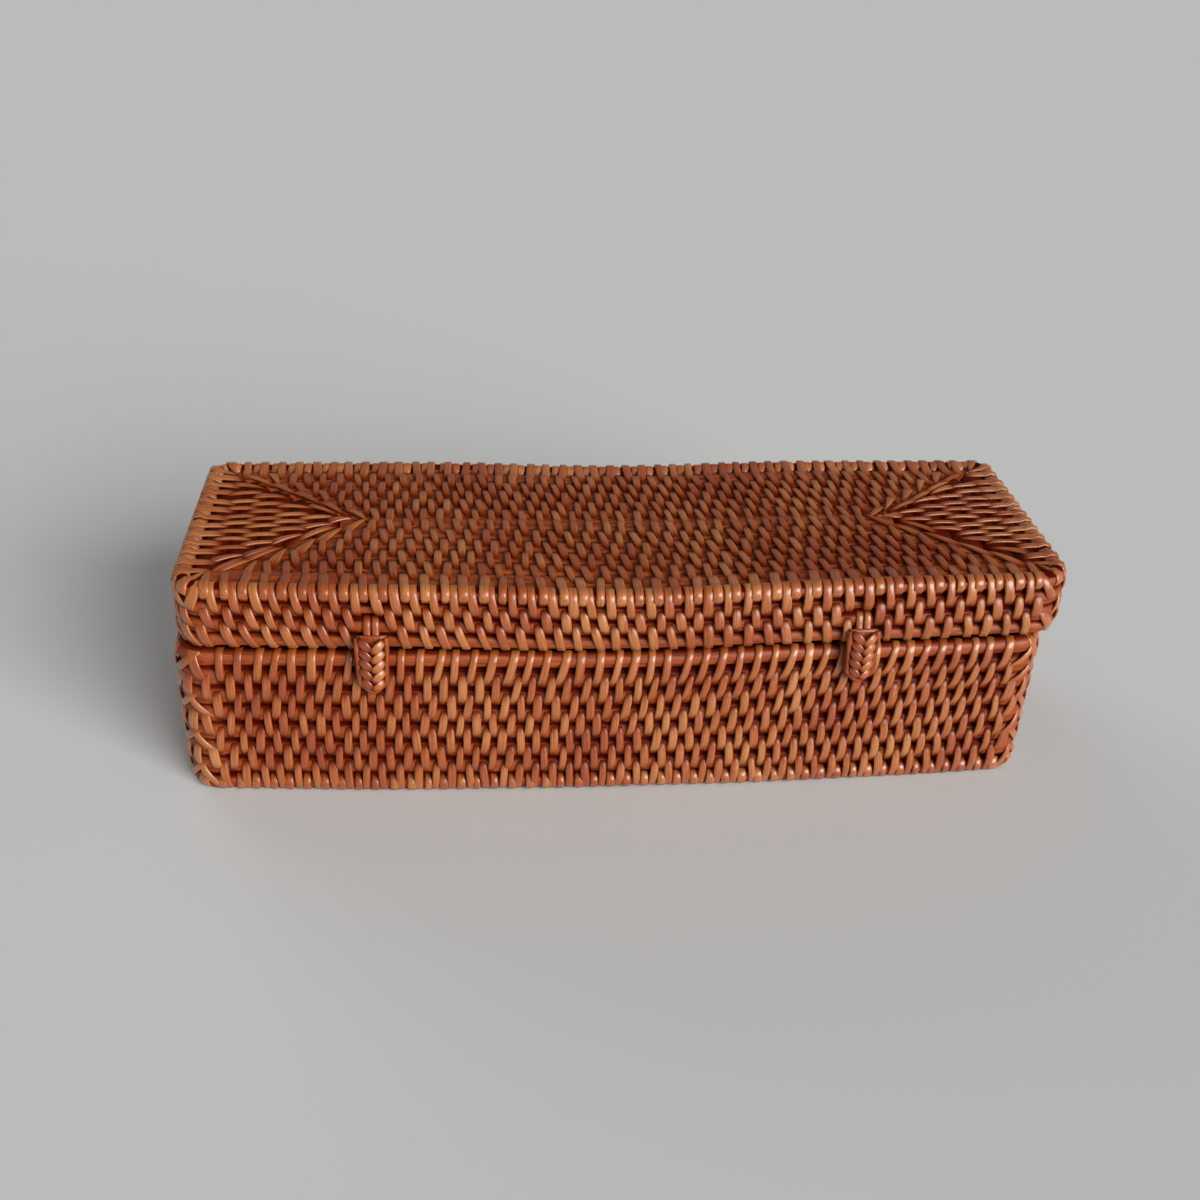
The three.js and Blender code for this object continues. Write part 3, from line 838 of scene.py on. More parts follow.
def wall_row(wall, k, lower, upper, carried):
    middle = [(a + b) / 2 for a, b in zip(lower, upper)]
    gaps = corner_gaps(middle, wall["half_length"], HALF_DEPTH, wall["shift"])
    swing, swell = corner_swing(gaps)
    pulls = [-CORNER_PULL * gap * (1 - eased(abs(gap) / CORNER_REACH)) for gap in gaps]
    travel, total = measured(middle)
    left_lean, right_lean = wall["lean_shares"]
    shares = [left_lean + (right_lean - left_lean) * eased((p.x + LEAN_REACH) / (2 * LEAN_REACH))
              for p in middle]
    leans = [wall["leans"][k] * share + wall["corner_lean"] * s for share, s in zip(shares, swing)]
    moves = [carried * (share - 1) + stretch_at(place, total, wall["stretch"]) + pull
             for share, place, pull in zip(shares, travel, pulls)]
    kept = [stitched(p, k in wall["hinge_rows"], k in wall["tab_rows"]) for p in middle]
    flatness = 1 - BACK_STAND if k == wall["flat_row"] else 0.0
    return path_from(middle, {
        "span": [(b - a) / 2 for a, b in zip(lower, upper)], "tan_lean": leans,
        "crowd": [move * MM for move in moves], "keep": kept, "girth": swell,
        "stand": [1 - flatness * eased((p.y - BACK_START) / BACK_SLOPE) for p in middle]})


print("rows stretch from", STRETCH_START, "to", STRETCH_END, "mm along the front")

# %% Wall courses
CANE_DIP = 0.06
# How strong the painted shade is in the grooves between wall courses, and on the rim.
WALL_GROOVE_SHADE = 1.2
RIM_GROOVE_SHADE = 0.78
CANE_SWELL = 0.22
RIM_SWELL = 0.14
SWELL_REACH = 3.0
EDGE_PHASE = 0.3
WALL_SEED = 40
WALL_SEED_STEP = 60
ROW_SEED_STEP = 11


def wall_cane(wall, k, points, is_rim):
    edge_height, inner_height, rim_height = wall["cane_heights"]
    swell = CANE_SWELL
    height = inner_height
    if is_rim or k == 0:
        swell = RIM_SWELL
        height = rim_height if is_rim else edge_height
    tab_girth = wall["tab_girths"].get(k, 1.0)
    hinge_girth = wall["hinge_girths"].get(k, 1.0)
    girths = []
    for p, gap in zip(points, corner_gaps(points, wall["half_length"], HALF_DEPTH, wall["shift"])):
        near = 1 - eased((abs(gap) - SWELL_REACH) / SWELL_REACH)
        girths.append(girth_at(p, tab_girth, hinge_girth) * (1 + swell * near))
    path = path_from(points, {"girth": girths})
    return lay_cane(path, WALL_CANE_DEPTH - CANE_DIP, height, groove_shade=RIM_GROOVE_SHADE if is_rim else WALL_GROOVE_SHADE)


def wall_courses(part, wall):
    heights = wall["heights"]
    half_pitch = wall["pitch"] / 2
    strips = row_strips(f"{part}_wall", wall)
    first_seed = WALL_SEED + WALL_SEED_STEP * len(heights)
    paths = [wall_points(wall["half_length"], wall["shift"], z, first_seed + k)
             for k, z in enumerate(heights)]
    phase = EDGE_PHASE
    carried = 0.0
    for k, points in enumerate(paths):
        is_rim = k == len(paths) - 1
        meshes = [wall_cane(wall, k, points, is_rim)]
        if k and not is_rim:
            step = half_pitch * (wall["leans"][k - 1] + wall["leans"][k])
            phase += 0.5 + step / wall["stitch_pitch"]
            carried += step
        if not is_rim:
            strip = strips[0] if k == 0 else strips[1 + (k == len(paths) - 2)]
            row = wall_row(wall, k, points, paths[k + 1], carried)
            seed = ROW_SEED_STEP * k + len(heights)
            meshes.append(bind(row, strip, half_pitch, phase % 1, seed, pitch=wall["stitch_pitch"]))
        name = f"{part}_wall_course_{k + 1}"
        piece_from(f"{name}_woven", meshes, [name], part)
    return paths


print("edge and rim canes swell by", RIM_SWELL, "and the others by", CANE_SWELL, "at a corner")

# %% [markdown]
# ## The two walls
# One table describes each wall. Heights of canes and loops are half heights, for the edge course,
# the inner courses and the rim course. Every row has a lean, and `lean_shares` says how much of it
# the left and right ends get, because the weaver's hand changed along the work. `stretch` is how
# far the stitches run ahead along the front. The last entries name the rows that leave canes bare,
# the row that lies flatter, and the canes that are thinner there.

# %% Base and lid walls
BASE_COURSES = 8
BASE_PITCH = 4.5
FIRST_BASE_HEIGHT = 2.1
LID_COURSES = 4
LID_PITCH = 3.65
LID_RIM_HEIGHT = 38.175
LID_SHIFT = 1.9

base_heights = [FIRST_BASE_HEIGHT + k * BASE_PITCH for k in range(BASE_COURSES)]
lid_heights = [LID_RIM_HEIGHT + (LID_COURSES - 1 - k) * LID_PITCH for k in range(LID_COURSES)]
base_wall = {
    "heights": base_heights, "pitch": BASE_PITCH, "half_length": BASE_HALF_LENGTH, "shift": 0.0,
    "cane_heights": (2.0, 2.7, 1.85), "loop_heights": (1.66, 1.55, 1.8), "hook": 0.4, "edge_drop": 1.0,
    "strip_width": 1.8, "stitch_pitch": STITCH_PITCH, "stretch": 0.0,
    "leans": (-0.03, -0.01, 0.02, 0.06, 0.11, 0.17, 0.24), "lean_shares": (0.4, 1.0),
    "corner_lean": 0.75, "hinge_rows": (6,), "tab_rows": (), "flat_row": 6,
    "tab_girths": {}, "hinge_girths": {}}
lid_wall = {
    "heights": lid_heights, "pitch": LID_PITCH, "half_length": LID_HALF_LENGTH, "shift": LID_SHIFT,
    "cane_heights": (1.62, 2.15, 1.52), "loop_heights": (1.55, 1.1, 1.48), "hook": 0.0, "edge_drop": 1.5,
    "strip_width": 1.98, "stitch_pitch": 3.9, "stretch": 6.0,
    "leans": (0.14, 0.22, 0.32), "lean_shares": (1.05, 0.2),
    "corner_lean": 0.5, "hinge_rows": (1, 2), "tab_rows": (1, 2), "flat_row": 2,
    "tab_girths": {1: 0.62, 3: 0.88}, "hinge_girths": {2: 0.62}}
base_paths = wall_courses("base", base_wall)
lid_paths = wall_courses("lid", lid_wall)

# %% [markdown]
# ## Floor and lid top
# Both panels start from a straight core cane and grow outwards in mitred rounds. Stitches on the
# sides stand square to the canes and fan out towards the mitres, so the step from round to round
# is turned gradually at each corner. Each row of a round runs past its mitre and `keep` cuts it off
# there. The last row goes over the wall's edge course, in brick step with the wall's first row.

# %% Panel stitches and rounds
PANEL_ROUNDS = 5
ROUND_PITCH = 4.4
ROUND_END_PITCH = 5.5
ROUND_GAP = 0.3
SIDE_LOOP_HALF = 1.8
END_LOOP_HALF = 1.15
EDGE_LOOP_HALF = 1.9
PANEL_STRIP_WIDTH = 1.6
END_STRIP_WIDTH = 1.3
PANEL_ARCH = 0.15
# The panel strips get a share of painted shade all over, so the top reads darker than the walls.
PANEL_PAINTED_SHADE = 0.05
PANEL_RISE = 0.08


def panel_strips(name, depth, edge_width, edge_drop):
    half = ROUND_PITCH / 2
    side = strip_loop(f"{name}_side_strip", half, (SIDE_LOOP_HALF, SIDE_LOOP_HALF), depth,
                      PANEL_STRIP_WIDTH, arch=PANEL_ARCH, darkening=PANEL_PAINTED_SHADE)
    end = strip_loop(f"{name}_end_strip", half, (END_LOOP_HALF, END_LOOP_HALF), depth,
                     END_STRIP_WIDTH, arch=PANEL_ARCH, darkening=PANEL_PAINTED_SHADE)
    edge = strip_loop(f"{name}_edge_strip", half, (EDGE_LOOP_HALF, EDGE_LOOP_HALF), depth,
                      edge_width, far_shows=True, far_drop=edge_drop, arch=PANEL_ARCH)
    edge.data.transform(Matrix.Translation((0, -half * MM, 0)))
    return side, end, edge


def contour(k, half_length):
    half_x = half_length - WALL_THICKNESS - ROUND_GAP - (PANEL_ROUNDS - k) * ROUND_END_PITCH
    half_y = HALF_DEPTH - WALL_THICKNESS - ROUND_GAP - (PANEL_ROUNDS - k) * ROUND_PITCH
    return half_x, half_y, FRONT_BOW * half_y / (HALF_DEPTH - WALL_THICKNESS - ROUND_GAP)


def placed(plan, shift, height, seed):
    rise = wander_of(seed, PANEL_RISE)
    points = []
    for i, (x, y) in enumerate(plan):
        z = height - sag_at(x, height) + rise(2 * math.pi * i / len(plan))
        points.append(Vector((x + shift, y, z)))
    return points


last_half_x, last_half_y, last_bow = contour(PANEL_ROUNDS, LID_HALF_LENGTH)
print("the lid's last round is", 2 * last_half_x, "by", 2 * last_half_y, "mm and bows", last_bow, "mm")

# %% Rows of a round
PANEL_LEAN = 0.09
FAN_REACH = 8.0
END_FAN_REACH = 6.0
SPARE_STITCHES = 3
MITRE_PULL = 0.85
MITRE_PULL_SHARE = 0.2
MITRE_SHRINK = 0.22
MITRE_LAP = 0.3
PANEL_ROW_SEED = 900


def row_places(half, direction):
    reach = (round(half / STITCH_PITCH) + SPARE_STITCHES) * STITCH_PITCH
    steps = round(2 * reach / PATH_STEP)
    return [direction * reach * (2 * i / steps - 1) for i in range(steps + 1)]


def near_mitre(places, half, reach):
    return [eased((abs(place) - half + reach) / reach) for place in places]


def panel_sides(k, half_length, shift, height):
    half_x, half_y, bow = contour(k, half_length)
    half_x += ROUND_GAP / 2
    half_y += ROUND_GAP / 2
    step_x = ROUND_END_PITCH / 2
    step_y = ROUND_PITCH / 2
    pull_in = min(MITRE_PULL, MITRE_PULL_SHARE * half_y)
    sides = []
    for hand in (-1, 1):
        xs = row_places(half_x, -hand)
        dip = bow if hand < 0 else 0.0
        fans = near_mitre(xs, half_x, FAN_REACH)
        plan = []
        spans = []
        for x, fan, pull in zip(xs, fans, near_mitre(xs, half_x, CORNER_RADIUS)):
            y = hand * half_y - dip * max(0.0, 1 - (x / half_x) ** 2)
            plan.append((x - math.copysign(pull * pull_in, x), y - hand * pull * pull_in))
            span = Vector((math.copysign(fan * step_x, x), hand * step_y, 0))
            spans.append(span * (1 - MITRE_SHRINK * pull))
        sides.append((plan, spans, fans, [float(abs(x) < half_x + MITRE_LAP) for x in xs]))
    for hand in (-1, 1):
        ys = row_places(half_y, hand)
        fans = near_mitre(ys, half_y, min(END_FAN_REACH, half_y))
        plan = []
        spans = []
        for y, fan, pull in zip(ys, fans, near_mitre(ys, half_y, CORNER_RADIUS)):
            plan.append((hand * (half_x - pull * pull_in), y - math.copysign(pull * pull_in, y)))
            span = Vector((hand * step_x, math.copysign(fan * step_y, y), 0))
            spans.append(span * (1 - MITRE_SHRINK * pull))
        sides.append((plan, spans, fans, [float(abs(y) < half_y - MITRE_LAP) for y in ys]))
    rows = []
    for plan, spans, fans, kept in sides:
        points = placed(plan, shift, height, PANEL_ROW_SEED + k)
        rows.append(path_from(points, {
            "span": spans, "tan_lean": [PANEL_LEAN * (1 - fan) for fan in fans], "keep": kept,
            "crowd": [0.0] * len(points)}, closed=False))
    return rows


print("stitches fan out over the last", FAN_REACH, "mm before a mitre")

# %% Panels
FLOOR_DEPTH = 1.6
TOP_DEPTH = 1.2
EDGE_STEP = 4.55
ROUND_HALF = 2.05
PANEL_CANE_HALF = 2.55
CANE_SHARE = 0.85
PANEL_CORNER = 0.8
# The painted shade in the grooves of a panel is weaker than in a wall.
PANEL_GROOVE_SHADE = 0.64
END_GIRTH = 1.25
# Canes at the ends of a round are painted in shade, where the spread stitches leave dark gaps.
END_SHADE = 0.92
LAST_GIRTH = 1.15
CORE_GIRTH = 1.12
CORE_OVERHANG = 0.4
CORE_STEPS = 60
PANEL_CANE_SEED = 700
PANEL_SEED = 300
EDGE_SEED = 320


def edge_row(wall, points):
    limit_x = wall["half_length"] - WALL_THICKNESS / 2 - EDGE_STEP
    limit_y = WALL_CENTRE - EDGE_STEP
    straight = wall["half_length"] - WALL_THICKNESS / 2 - CORNER_RADIUS
    spans = []
    for p in points:
        x = p.x - wall["shift"]
        bowed = p.y < 0 and abs(x) < straight
        inner_x = min(max(x, -limit_x), limit_x)
        inner_y = p.y + EDGE_STEP if bowed else min(max(p.y, -limit_y), limit_y)
        spans.append(Vector((x - inner_x, p.y - inner_y, 0)) / 2)
    travel, total = measured(points)
    return path_from(points, {
        "span": spans, "tan_lean": [0.0] * len(points), "keep": [1.0] * len(points),
        "crowd": [stretch_at(place, total, wall["stretch"]) * MM for place in travel]})


def panel_cane(k, half_length, shift, height):
    half_x, half_y, bow = contour(k, half_length)
    if k == 0:
        ends = half_x + CORE_OVERHANG
        plan = [(ends * (2 * i / CORE_STEPS - 1), 0.0) for i in range(CORE_STEPS + 1)]
        points = placed(plan, shift, height, PANEL_CANE_SEED)
        return path_from(points, {"girth": [CORE_GIRTH] * len(plan)}, closed=False)
    plan = ring(half_x - ROUND_HALF, half_y - ROUND_HALF, PANEL_CORNER, bow)
    near_ends = [eased((abs(x) - half_x + ROUND_HALF) / PANEL_CORNER + 1) for x, y in plan]
    least = LAST_GIRTH if k == PANEL_ROUNDS else 1.0
    girths = [least + (END_GIRTH - least) * near for near in near_ends]
    shades = [END_SHADE * near for near in near_ends]
    points = placed(plan, shift, height, PANEL_CANE_SEED + k)
    return path_from(points, {"girth": girths, "shade": shades})


def panel(part, prefix, wall, edge_points, depth):
    place = wall["half_length"], wall["shift"], wall["heights"][0]
    side_strip, end_strip, edge_strip = panel_strips(
        prefix, depth, wall["strip_width"], wall["edge_drop"])
    for k in range(PANEL_ROUNDS + 1):
        path = panel_cane(k, *place)
        meshes = [lay_cane(path, PANEL_CANE_HALF, CANE_SHARE * depth, 1.0, PANEL_GROOVE_SHADE)]
        phase = k * (0.5 + ROUND_PITCH * PANEL_LEAN / STITCH_PITCH)
        if k < PANEL_ROUNDS:
            rows = panel_sides(k, *place)
            for i, row in enumerate(rows):
                strip = side_strip if i < 2 else end_strip
                seed = PANEL_SEED + len(rows) * k + i
                meshes.append(bind(row, strip, ROUND_PITCH / 2, phase % 1, seed))
        else:
            lean_step = wall["pitch"] / 2 * wall["leans"][0] / wall["stitch_pitch"]
            phase = EDGE_PHASE + 0.5 - lean_step
            row = edge_row(wall, edge_points)
            meshes.append(bind(row, edge_strip, ROUND_PITCH / 2, phase, EDGE_SEED,
                               pitch=wall["stitch_pitch"]))
        node = f"{prefix}_core" if k == 0 else f"{prefix}_round_{k}"
        piece_from(f"{node}_woven", meshes, [node], part)


panel("base", "base_floor", base_wall, base_paths[0], FLOOR_DEPTH)
panel("lid", "lid_top", lid_wall, lid_paths[0], TOP_DEPTH)

# %% [markdown]
# ## Hinge lashings
# At the back, strip is wound four times round the two rim canes at two places. The lid's bare cane
# turns in these loops, so they stay with the base. The same binding tree winds them on a short
# straight path, which runs past the lashing so that `keep` can cut it to four turns.

# %% Hinge lashings
LASHING_RADIUS = 1.65
LASHING_WIDTH = 7.0
LASHING_TURNS = 4
LASHING_STRIP_WIDTH = 1.7
LASHING_STRIP_THICKNESS = 0.4
LASHING_LEAN = 0.06
LASHING_WANDER = 0.05
LASHING_LEAN_WANDER = 0.02
LASHING_SPARE = 1.5
LASHING_STEPS = 48
LASHING_SEED = 77

rim_step = (LID_RIM_HEIGHT - base_heights[-1]) / 2
lashing_strip = strip_loop("lashing_turn", rim_step, (LASHING_RADIUS, LASHING_RADIUS), LASHING_RADIUS,
                           LASHING_STRIP_WIDTH, thickness=LASHING_STRIP_THICKNESS)
rim_height = base_heights[-1] + rim_step
reach = LASHING_WIDTH * LASHING_SPARE
for side, x in HINGE_XS.items():
    xs = [x + reach * (1 - 2 * i / LASHING_STEPS) for i in range(LASHING_STEPS + 1)]
    path = path_from([Vector((place, WALL_CENTRE, rim_height)) for place in xs], {
        "span": [Vector((0, 0, rim_step))] * len(xs), "tan_lean": [LASHING_LEAN] * len(xs),
        "crowd": [0.0] * len(xs),
        "keep": [float(abs(place - x) < LASHING_WIDTH / 2) for place in xs]}, closed=False)
    turns = bind(path, lashing_strip, rim_step, 0.5, LASHING_SEED, LASHING_WANDER, LASHING_LEAN_WANDER,
                 LASHING_WIDTH / LASHING_TURNS)
    name = f"hinge_lashing_{side}"
    piece_from(f"{name}_wound", [turns], [name], "base")

# %% [markdown]
# ## Pull tabs
# Each tab is a flat strap that ends in a smooth header band, and hangs on an eye of two narrow
# strips that go round a lid cane. A thin cane bent like a hairpin runs along its edges, and
# leaf-shaped strands are plaited between them down to a middle ridge. The tab is built round its
# own hinge line, with -Y out of the wall and Z up, and then moved to its place.

# %% Strap and eye
TAB_HALF_WIDTH = 3.5
STRAP_INSET = 0.4
STRAP_HALF_WIDTH = TAB_HALF_WIDTH - STRAP_INSET
STRAP_HALF = 0.22
STRAP_PLACE = -3.1
STRAP_SECTION = [(-1.0, -1.0), (1.0, -1.0), (1.0, 0.2), (0.6, 1.0), (-0.6, 1.0), (-1.0, 0.2)]
TIP_LIFT = 0.5
TIP_SHARES = (0.02, 0.08, 0.2, 0.4, 0.7, 1.0)
TIP_BLUNTNESS = 0.1
TIP_CURVE = 0.8
HEADER = ((-3.1, -2.6, 1.0), (-3.05, -1.5, 1.0), (-2.85, -1.0, 0.94))
EYE_RADIUS = 1.95
EYE_HALF_WIDTH = 0.72
EYE_RISE = ((-2.95, -3.0), (-2.62, -1.8), (-2.3, -1.0))
EYE_STEPS = 12
EYE_TURN = 1.72
# The eye strips are painted in shade where they go round behind the cane.
EYE_PAINTED_SHADE = 0.6
EYE_SHADE_FROM = -1.0


def strap_path(length):
    path = []
    for share in TIP_SHARES:
        breadth = TIP_BLUNTNESS + (1 - TIP_BLUNTNESS) * share ** TIP_CURVE
        height = -length + TIP_LIFT + STRAP_HALF_WIDTH * share
        path.append((STRAP_PLACE, height, STRAP_HALF_WIDTH * breadth))
    path.append((STRAP_PLACE, -0.5 * length, STRAP_HALF_WIDTH))
    path += [(y, z, breadth * STRAP_HALF_WIDTH) for y, z, breadth in HEADER]
    return path


def eye_path():
    path = [(y, z, EYE_HALF_WIDTH) for y, z in EYE_RISE]
    for i in range(EYE_STEPS + 1):
        angle = math.pi * (1 - i / EYE_STEPS * EYE_TURN)
        path.append((EYE_RADIUS * math.cos(angle), EYE_RADIUS * math.sin(angle), EYE_HALF_WIDTH))
    return path


def strap_mesh(path, middle, tone, darkening):
    points = []
    for i, (y, z, half) in enumerate(path):
        before = Vector(path[max(i - 1, 0)][:2])
        after = Vector(path[min(i + 1, len(path) - 1)][:2])
        tangent = (after - before).normalized()
        out = Vector((-tangent.y, tangent.x)) * STRAP_HALF
        for side, lift in STRAP_SECTION:
            points.append(Vector((middle + side * half, y + lift * out.x, z + lift * out.y)) * MM)
    # `tuck` adds the painted shade where the eye goes behind the cane.
    marks = {
        "tone": [tone] * len(points), "across": [p.x / MM - middle for p in points],
        "around": [p.z for p in points],
        "tuck": [darkening + EYE_PAINTED_SHADE * eased(p.y / MM - EYE_SHADE_FROM) for p in points]}
    mesh = mesh_from("strap", points, sleeve_faces(len(path), len(STRAP_SECTION), False), marks)
    mesh.shade_smooth()
    mesh.materials.append(strip_finish)
    return mesh


print("straps are", 2 * STRAP_HALF_WIDTH, "mm wide")

# %% Edge canes and plait strands
EDGE_RADIUS = 0.62
EDGE_PLACE = -3.78
EDGE_FALL = ((-3.2, -1.4), (-3.5, -2.2), (-3.75, -3.2))
EDGE_STEPS = 10
EDGE_POINT = 1.3
STRAND_STEPS = 6
STRAND_START = Vector((2.5, -3.75, 1.1))
STRAND_END = Vector((-0.05, -4.9, -1.3))
STRAND_HALF_WIDTH = 0.92
STRAND_THICKNESS = 0.38
STRAND_BULGE = 0.32
STRAND_FULLNESS = 0.6
SWELL_START = 0.1
SWELL_LENGTH = 0.84
# Each leaf is painted in shade towards both ends, where it meets the edge cane and the ridge.
STRAND_UNSHADED = 0.45
STRAND_END_SHADE = 1.5
STRAND_FADE = 1.5


def edge_path(length):
    side = TAB_HALF_WIDTH - EDGE_RADIUS
    bottom = -length + TAB_HALF_WIDTH
    left = [Vector((-side, y, z)) for y, z in (*EDGE_FALL, (EDGE_PLACE, bottom))]
    tip = []
    for i in range(1, EDGE_STEPS):
        across = math.cos(math.pi * (1 + i / EDGE_STEPS))
        tip.append(Vector((side * across, EDGE_PLACE, bottom - side * (1 - abs(across) ** EDGE_POINT))))
    right = [Vector((-p.x, p.y, p.z)) for p in reversed(left)]
    return path_from(left + tip + right, {}, closed=False)


def strand(side):
    run = STRAND_END - STRAND_START
    along = run.normalized()
    aside = along.cross(Vector((0, -1, 0))).normalized()
    out = aside.cross(along).normalized()
    points = []
    marks = {"across": [], "around": [], "tuck": []}
    for i in range(STRAND_STEPS + 1):
        share = i / STRAND_STEPS
        swell = math.sin(math.pi * (SWELL_START + SWELL_LENGTH * share))
        centre = STRAND_START + run * share + out * STRAND_BULGE * swell
        half = STRAND_HALF_WIDTH * swell ** STRAND_FULLNESS
        end = max(0.0, abs(2 * share - 1) - STRAND_UNSHADED)
        for across, rise in STRIP_SECTION:
            p = centre + aside * across * half + out * rise * STRAND_THICKNESS * swell
            points.append(Vector((side * p.x, p.y, p.z)) * MM)
            marks["across"].append(across)
            marks["around"].append(share * run.length * MM)
            marks["tuck"].append(STRAND_END_SHADE * end ** STRAND_FADE)
    faces = sleeve_faces(STRAND_STEPS + 1, len(STRIP_SECTION), False)
    if side > 0:
        faces = [tuple(reversed(face)) for face in faces]
    return pattern_from("plait_strand", points, faces, marks)


strands = {-1: strand(-1), 1: strand(1)}
print("made", len(strands), "strands")

# %% [markdown]
# ## The plait tree
# The strands of one half of a plait are copies of one leaf, a step apart down the tab, so a short
# tree lays them: a line of points, a random tone for each, and a smaller leaf at the tip.

# %% Plait tree
TONE_RANGE = 0.3


def make_plait_tree():
    tree = new_tree("plait_strands", [
        ("Geometry", "NodeSocketGeometry"), ("Strand", "NodeSocketObject"), ("Count", "NodeSocketInt"),
        ("Start", "NodeSocketFloat"), ("Pitch", "NodeSocketFloat"), ("Tip size", "NodeSocketFloat"),
        ("Tone", "NodeSocketFloat"), ("Seed", "NodeSocketInt"), ("Finish", "NodeSocketMaterial")])
    given = add(tree, "NodeGroupInput").outputs
    first = add(tree, "ShaderNodeCombineXYZ", sockets={2: given["Start"]}).outputs[0]
    fall = add(tree, "ShaderNodeMath", {"operation": "MULTIPLY"}, {
        0: given["Pitch"], 1: -1.0}).outputs[0]
    step = add(tree, "ShaderNodeCombineXYZ", sockets={2: fall}).outputs[0]
    line = add(tree, "GeometryNodeMeshLine", {"mode": "OFFSET"}, {
        0: given["Count"], 2: first, 3: step}).outputs[0]
    most = add(tree, "ShaderNodeMath", {"operation": "ADD"}, {
        0: given["Tone"], 1: TONE_RANGE}).outputs[0]
    shade = add(tree, "FunctionNodeRandomValue", {"data_type": "FLOAT"}, {
        2: given["Tone"], 3: most, 8: given["Seed"]}).outputs[1]
    toned = add(tree, "GeometryNodeStoreNamedAttribute", {"data_type": "FLOAT", "domain": "POINT"}, {
        0: line, 2: "tone", 3: shade}).outputs[0]
    number = add(tree, "GeometryNodeInputIndex").outputs[0]
    last = add(tree, "ShaderNodeMath", {"operation": "SUBTRACT"}, {
        0: given["Count"], 1: 1.0}).outputs[0]
    before = add(tree, "ShaderNodeMath", {"operation": "SUBTRACT"}, {
        0: given["Count"], 1: 2.0}).outputs[0]
    size = add(tree, "ShaderNodeMapRange", sockets={
        0: number, 1: before, 2: last, 3: 1.0, 4: given["Tip size"]}).outputs[0]
    scale = add(tree, "ShaderNodeCombineXYZ", sockets={0: size, 1: 1.0, 2: size}).outputs[0]
    leaf = add(tree, "GeometryNodeObjectInfo", sockets={0: given["Strand"]}).outputs[4]
    copies = add(tree, "GeometryNodeInstanceOnPoints", sockets={0: toned, 2: leaf, 6: scale}).outputs[0]
    real = add(tree, "GeometryNodeRealizeInstances", sockets={0: copies}).outputs[0]
    smooth = add(tree, "GeometryNodeSetShadeSmooth", sockets={0: real}).outputs[0]
    done = add(tree, "GeometryNodeSetMaterial", sockets={0: smooth, 2: given["Finish"]}).outputs[0]
    add(tree, "NodeGroupOutput", sockets={0: done})
    return tree


plait_tree = make_plait_tree()
print("made", plait_tree.name, "with", len(plait_tree.nodes), "nodes")

# %% Tabs in place
TAB_HEIGHT = LID_RIM_HEIGHT + LID_PITCH
TAB_YS = {"left": -28.335, "right": -28.543}
TAB_LENGTHS = {"left": 14.7, "right": 13.8}
STRAP_TONE = 0.45
# The strap and the eye strips are darkened a little all over.
STRAP_DARKENING = 0.15
EYE_STEP = 0.85
# The right eye strip is painted lighter than the left, as painted light from the right.
EYE_TONE = 0.5
EYE_SIDE_LIGHT_STEP = 0.2
EYE_STRIP_DARKENING = 0.05
PLAIT_COUNT = 5
PLAIT_TOP = -2.2
PLAIT_MARGIN = 5.5
PLAIT_STAGGER = 0.12
# Strands on the right are painted lighter and those on the left darker, as painted light and shade from
# the right.
PLAIT_TONE = 0.1
PLAIT_SIDE_LIGHT_STEP = 0.7
PLAIT_TIP = 0.9
PLAIT_SEED = 5
RIDGE_PLACE = -3.7
RIDGE_TOP = -2.5
RIDGE_MARGIN = 5.7
RIDGE_STEPS = 8
RIDGE_RADIUS = 0.85


def tab_meshes(length):
    pitch = (length - PLAIT_MARGIN) / (PLAIT_COUNT - 1)
    meshes = [lay_cane(edge_path(length), EDGE_RADIUS, EDGE_RADIUS, groove_shade=0.0)]
    meshes.append(strap_mesh(strap_path(length), 0.0, STRAP_TONE, STRAP_DARKENING))
    for hand in strands:
        tone = EYE_TONE + EYE_SIDE_LIGHT_STEP * hand
        meshes.append(strap_mesh(eye_path(), hand * EYE_STEP, tone, EYE_STRIP_DARKENING))
    ridge_step = (length - RIDGE_MARGIN) / RIDGE_STEPS
    ridge = [Vector((0, RIDGE_PLACE, RIDGE_TOP - i * ridge_step)) for i in range(RIDGE_STEPS + 1)]
    meshes.append(lay_cane(path_from(ridge, {}, closed=False), RIDGE_RADIUS, RIDGE_RADIUS))
    for hand, leaf in strands.items():
        start = PLAIT_TOP - PLAIT_STAGGER * pitch * (hand + 1)
        meshes.append(grow(plait_tree, bpy.data.meshes.new("none"), {
            "Strand": leaf, "Count": PLAIT_COUNT, "Start": start * MM, "Pitch": pitch * MM,
            "Tip size": PLAIT_TIP, "Tone": PLAIT_TONE + PLAIT_SIDE_LIGHT_STEP * hand,
            "Seed": PLAIT_SEED + hand, "Finish": strip_finish}))
    return meshes


for side, x in TAB_XS.items():
    meshes = tab_meshes(TAB_LENGTHS[side])
    for mesh in meshes:
        mesh.transform(Matrix.Translation(Vector((x, TAB_YS[side], TAB_HEIGHT)) * MM))
    nodes = [f"tab_{side}_loop", f"tab_{side}_plait"]
    piece_from(f"tab_{side}_plaited", meshes, nodes, f"tab_{side}")

# %% [markdown]
# ## Clearing up
# The pattern objects, one stitch of each size and two strands, have served and go. Only the plain
# meshes that were grown from them stay.

# %% Remove the patterns
for pattern in patterns:
    bpy.data.objects.remove(pattern)

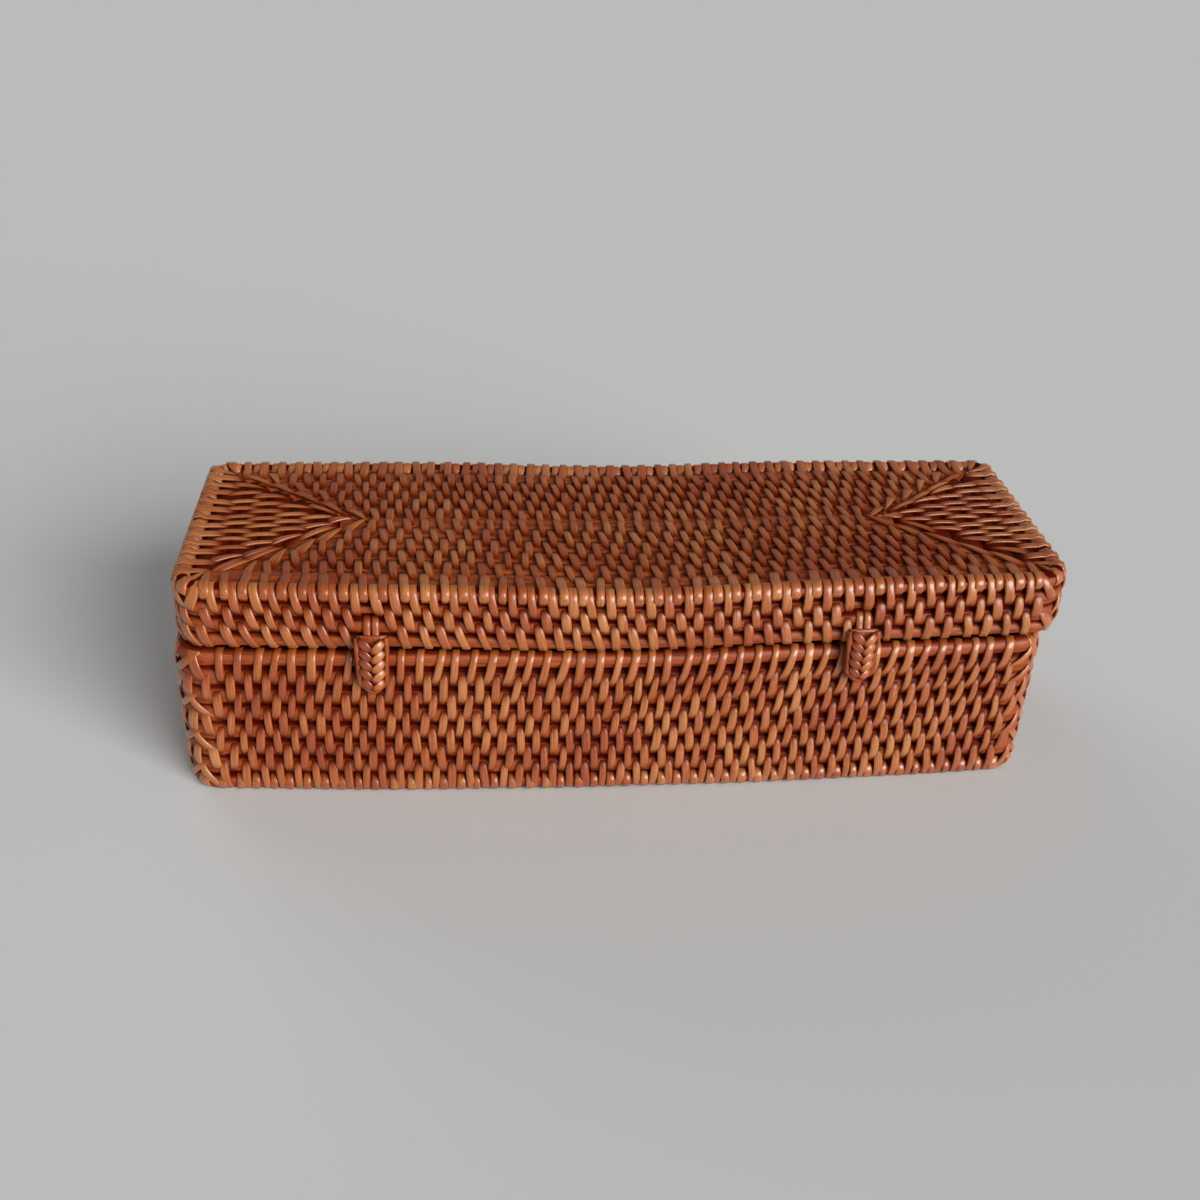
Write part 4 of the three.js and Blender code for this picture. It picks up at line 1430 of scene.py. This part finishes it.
# %% [markdown]
# ## Floor and light
# The case stands on a plain pale floor of matt paper. A large soft lamp to the front and right makes
# the gloss on the strips, as in the photograph. A weak lamp behind and an even grey sky fill the
# shadows. The weak lamp is kept out of reflections, so that it adds no second gloss.

# %% Floor
FLOOR_COLOUR = "#D2D3D1"
FLOOR_ROUGHNESS = 0.9
FLOOR_HALF = 3.0

floor_mesh = bpy.data.meshes.new("studio_floor")
floor_corners = [(x * FLOOR_HALF, y * FLOOR_HALF, 0) for x, y in ((-1, -1), (1, -1), (1, 1), (-1, 1))]
floor_mesh.from_pydata(floor_corners, [], [(0, 1, 2, 3)])
floor = bpy.data.objects.new("studio_floor", floor_mesh)
scene.collection.objects.link(floor)
floor_material = bpy.data.materials.new("matt_paper_floor")
floor_material.use_nodes = True
floor_shader = floor_material.node_tree.nodes["Principled BSDF"]
floor_shader.inputs["Base Color"].default_value = linear(FLOOR_COLOUR)
floor_shader.inputs["Roughness"].default_value = FLOOR_ROUGHNESS
floor_mesh.materials.append(floor_material)
print("floor is", 2 * FLOOR_HALF, "m wide")

# %% Light
KEY_FROM = Vector((1.05, -1.4, 0.72))
FILL_FROM = Vector((-1.1, 1.5, 0.35))
LAMP_SPREAD = math.radians(40)
KEY_STRENGTH = 4.0
FILL_STRENGTH = 1.3
SKY_COLOUR = "#F4F6F8"
SKY_STRENGTH = 0.22


def soft_lamp(name, source, strength):
    lamp_data = bpy.data.lights.new(name, "SUN")
    lamp_data.angle = LAMP_SPREAD
    lamp_data.energy = strength
    lamp = bpy.data.objects.new(name, lamp_data)
    lamp.rotation_mode = "QUATERNION"
    lamp.rotation_quaternion = (-source).to_track_quat("-Z", "Y")
    scene.collection.objects.link(lamp)
    return lamp


soft_lamp("key_lamp", KEY_FROM, KEY_STRENGTH)
soft_lamp("back_fill_lamp", FILL_FROM, FILL_STRENGTH).visible_glossy = False
world = bpy.data.worlds.new("soft_sky")
world.use_nodes = True
sky = world.node_tree.nodes["Background"]
sky.inputs[0].default_value = linear(SKY_COLOUR)
sky.inputs[1].default_value = SKY_STRENGTH
scene.world = world
print("key lamp", KEY_STRENGTH, "W per square metre")
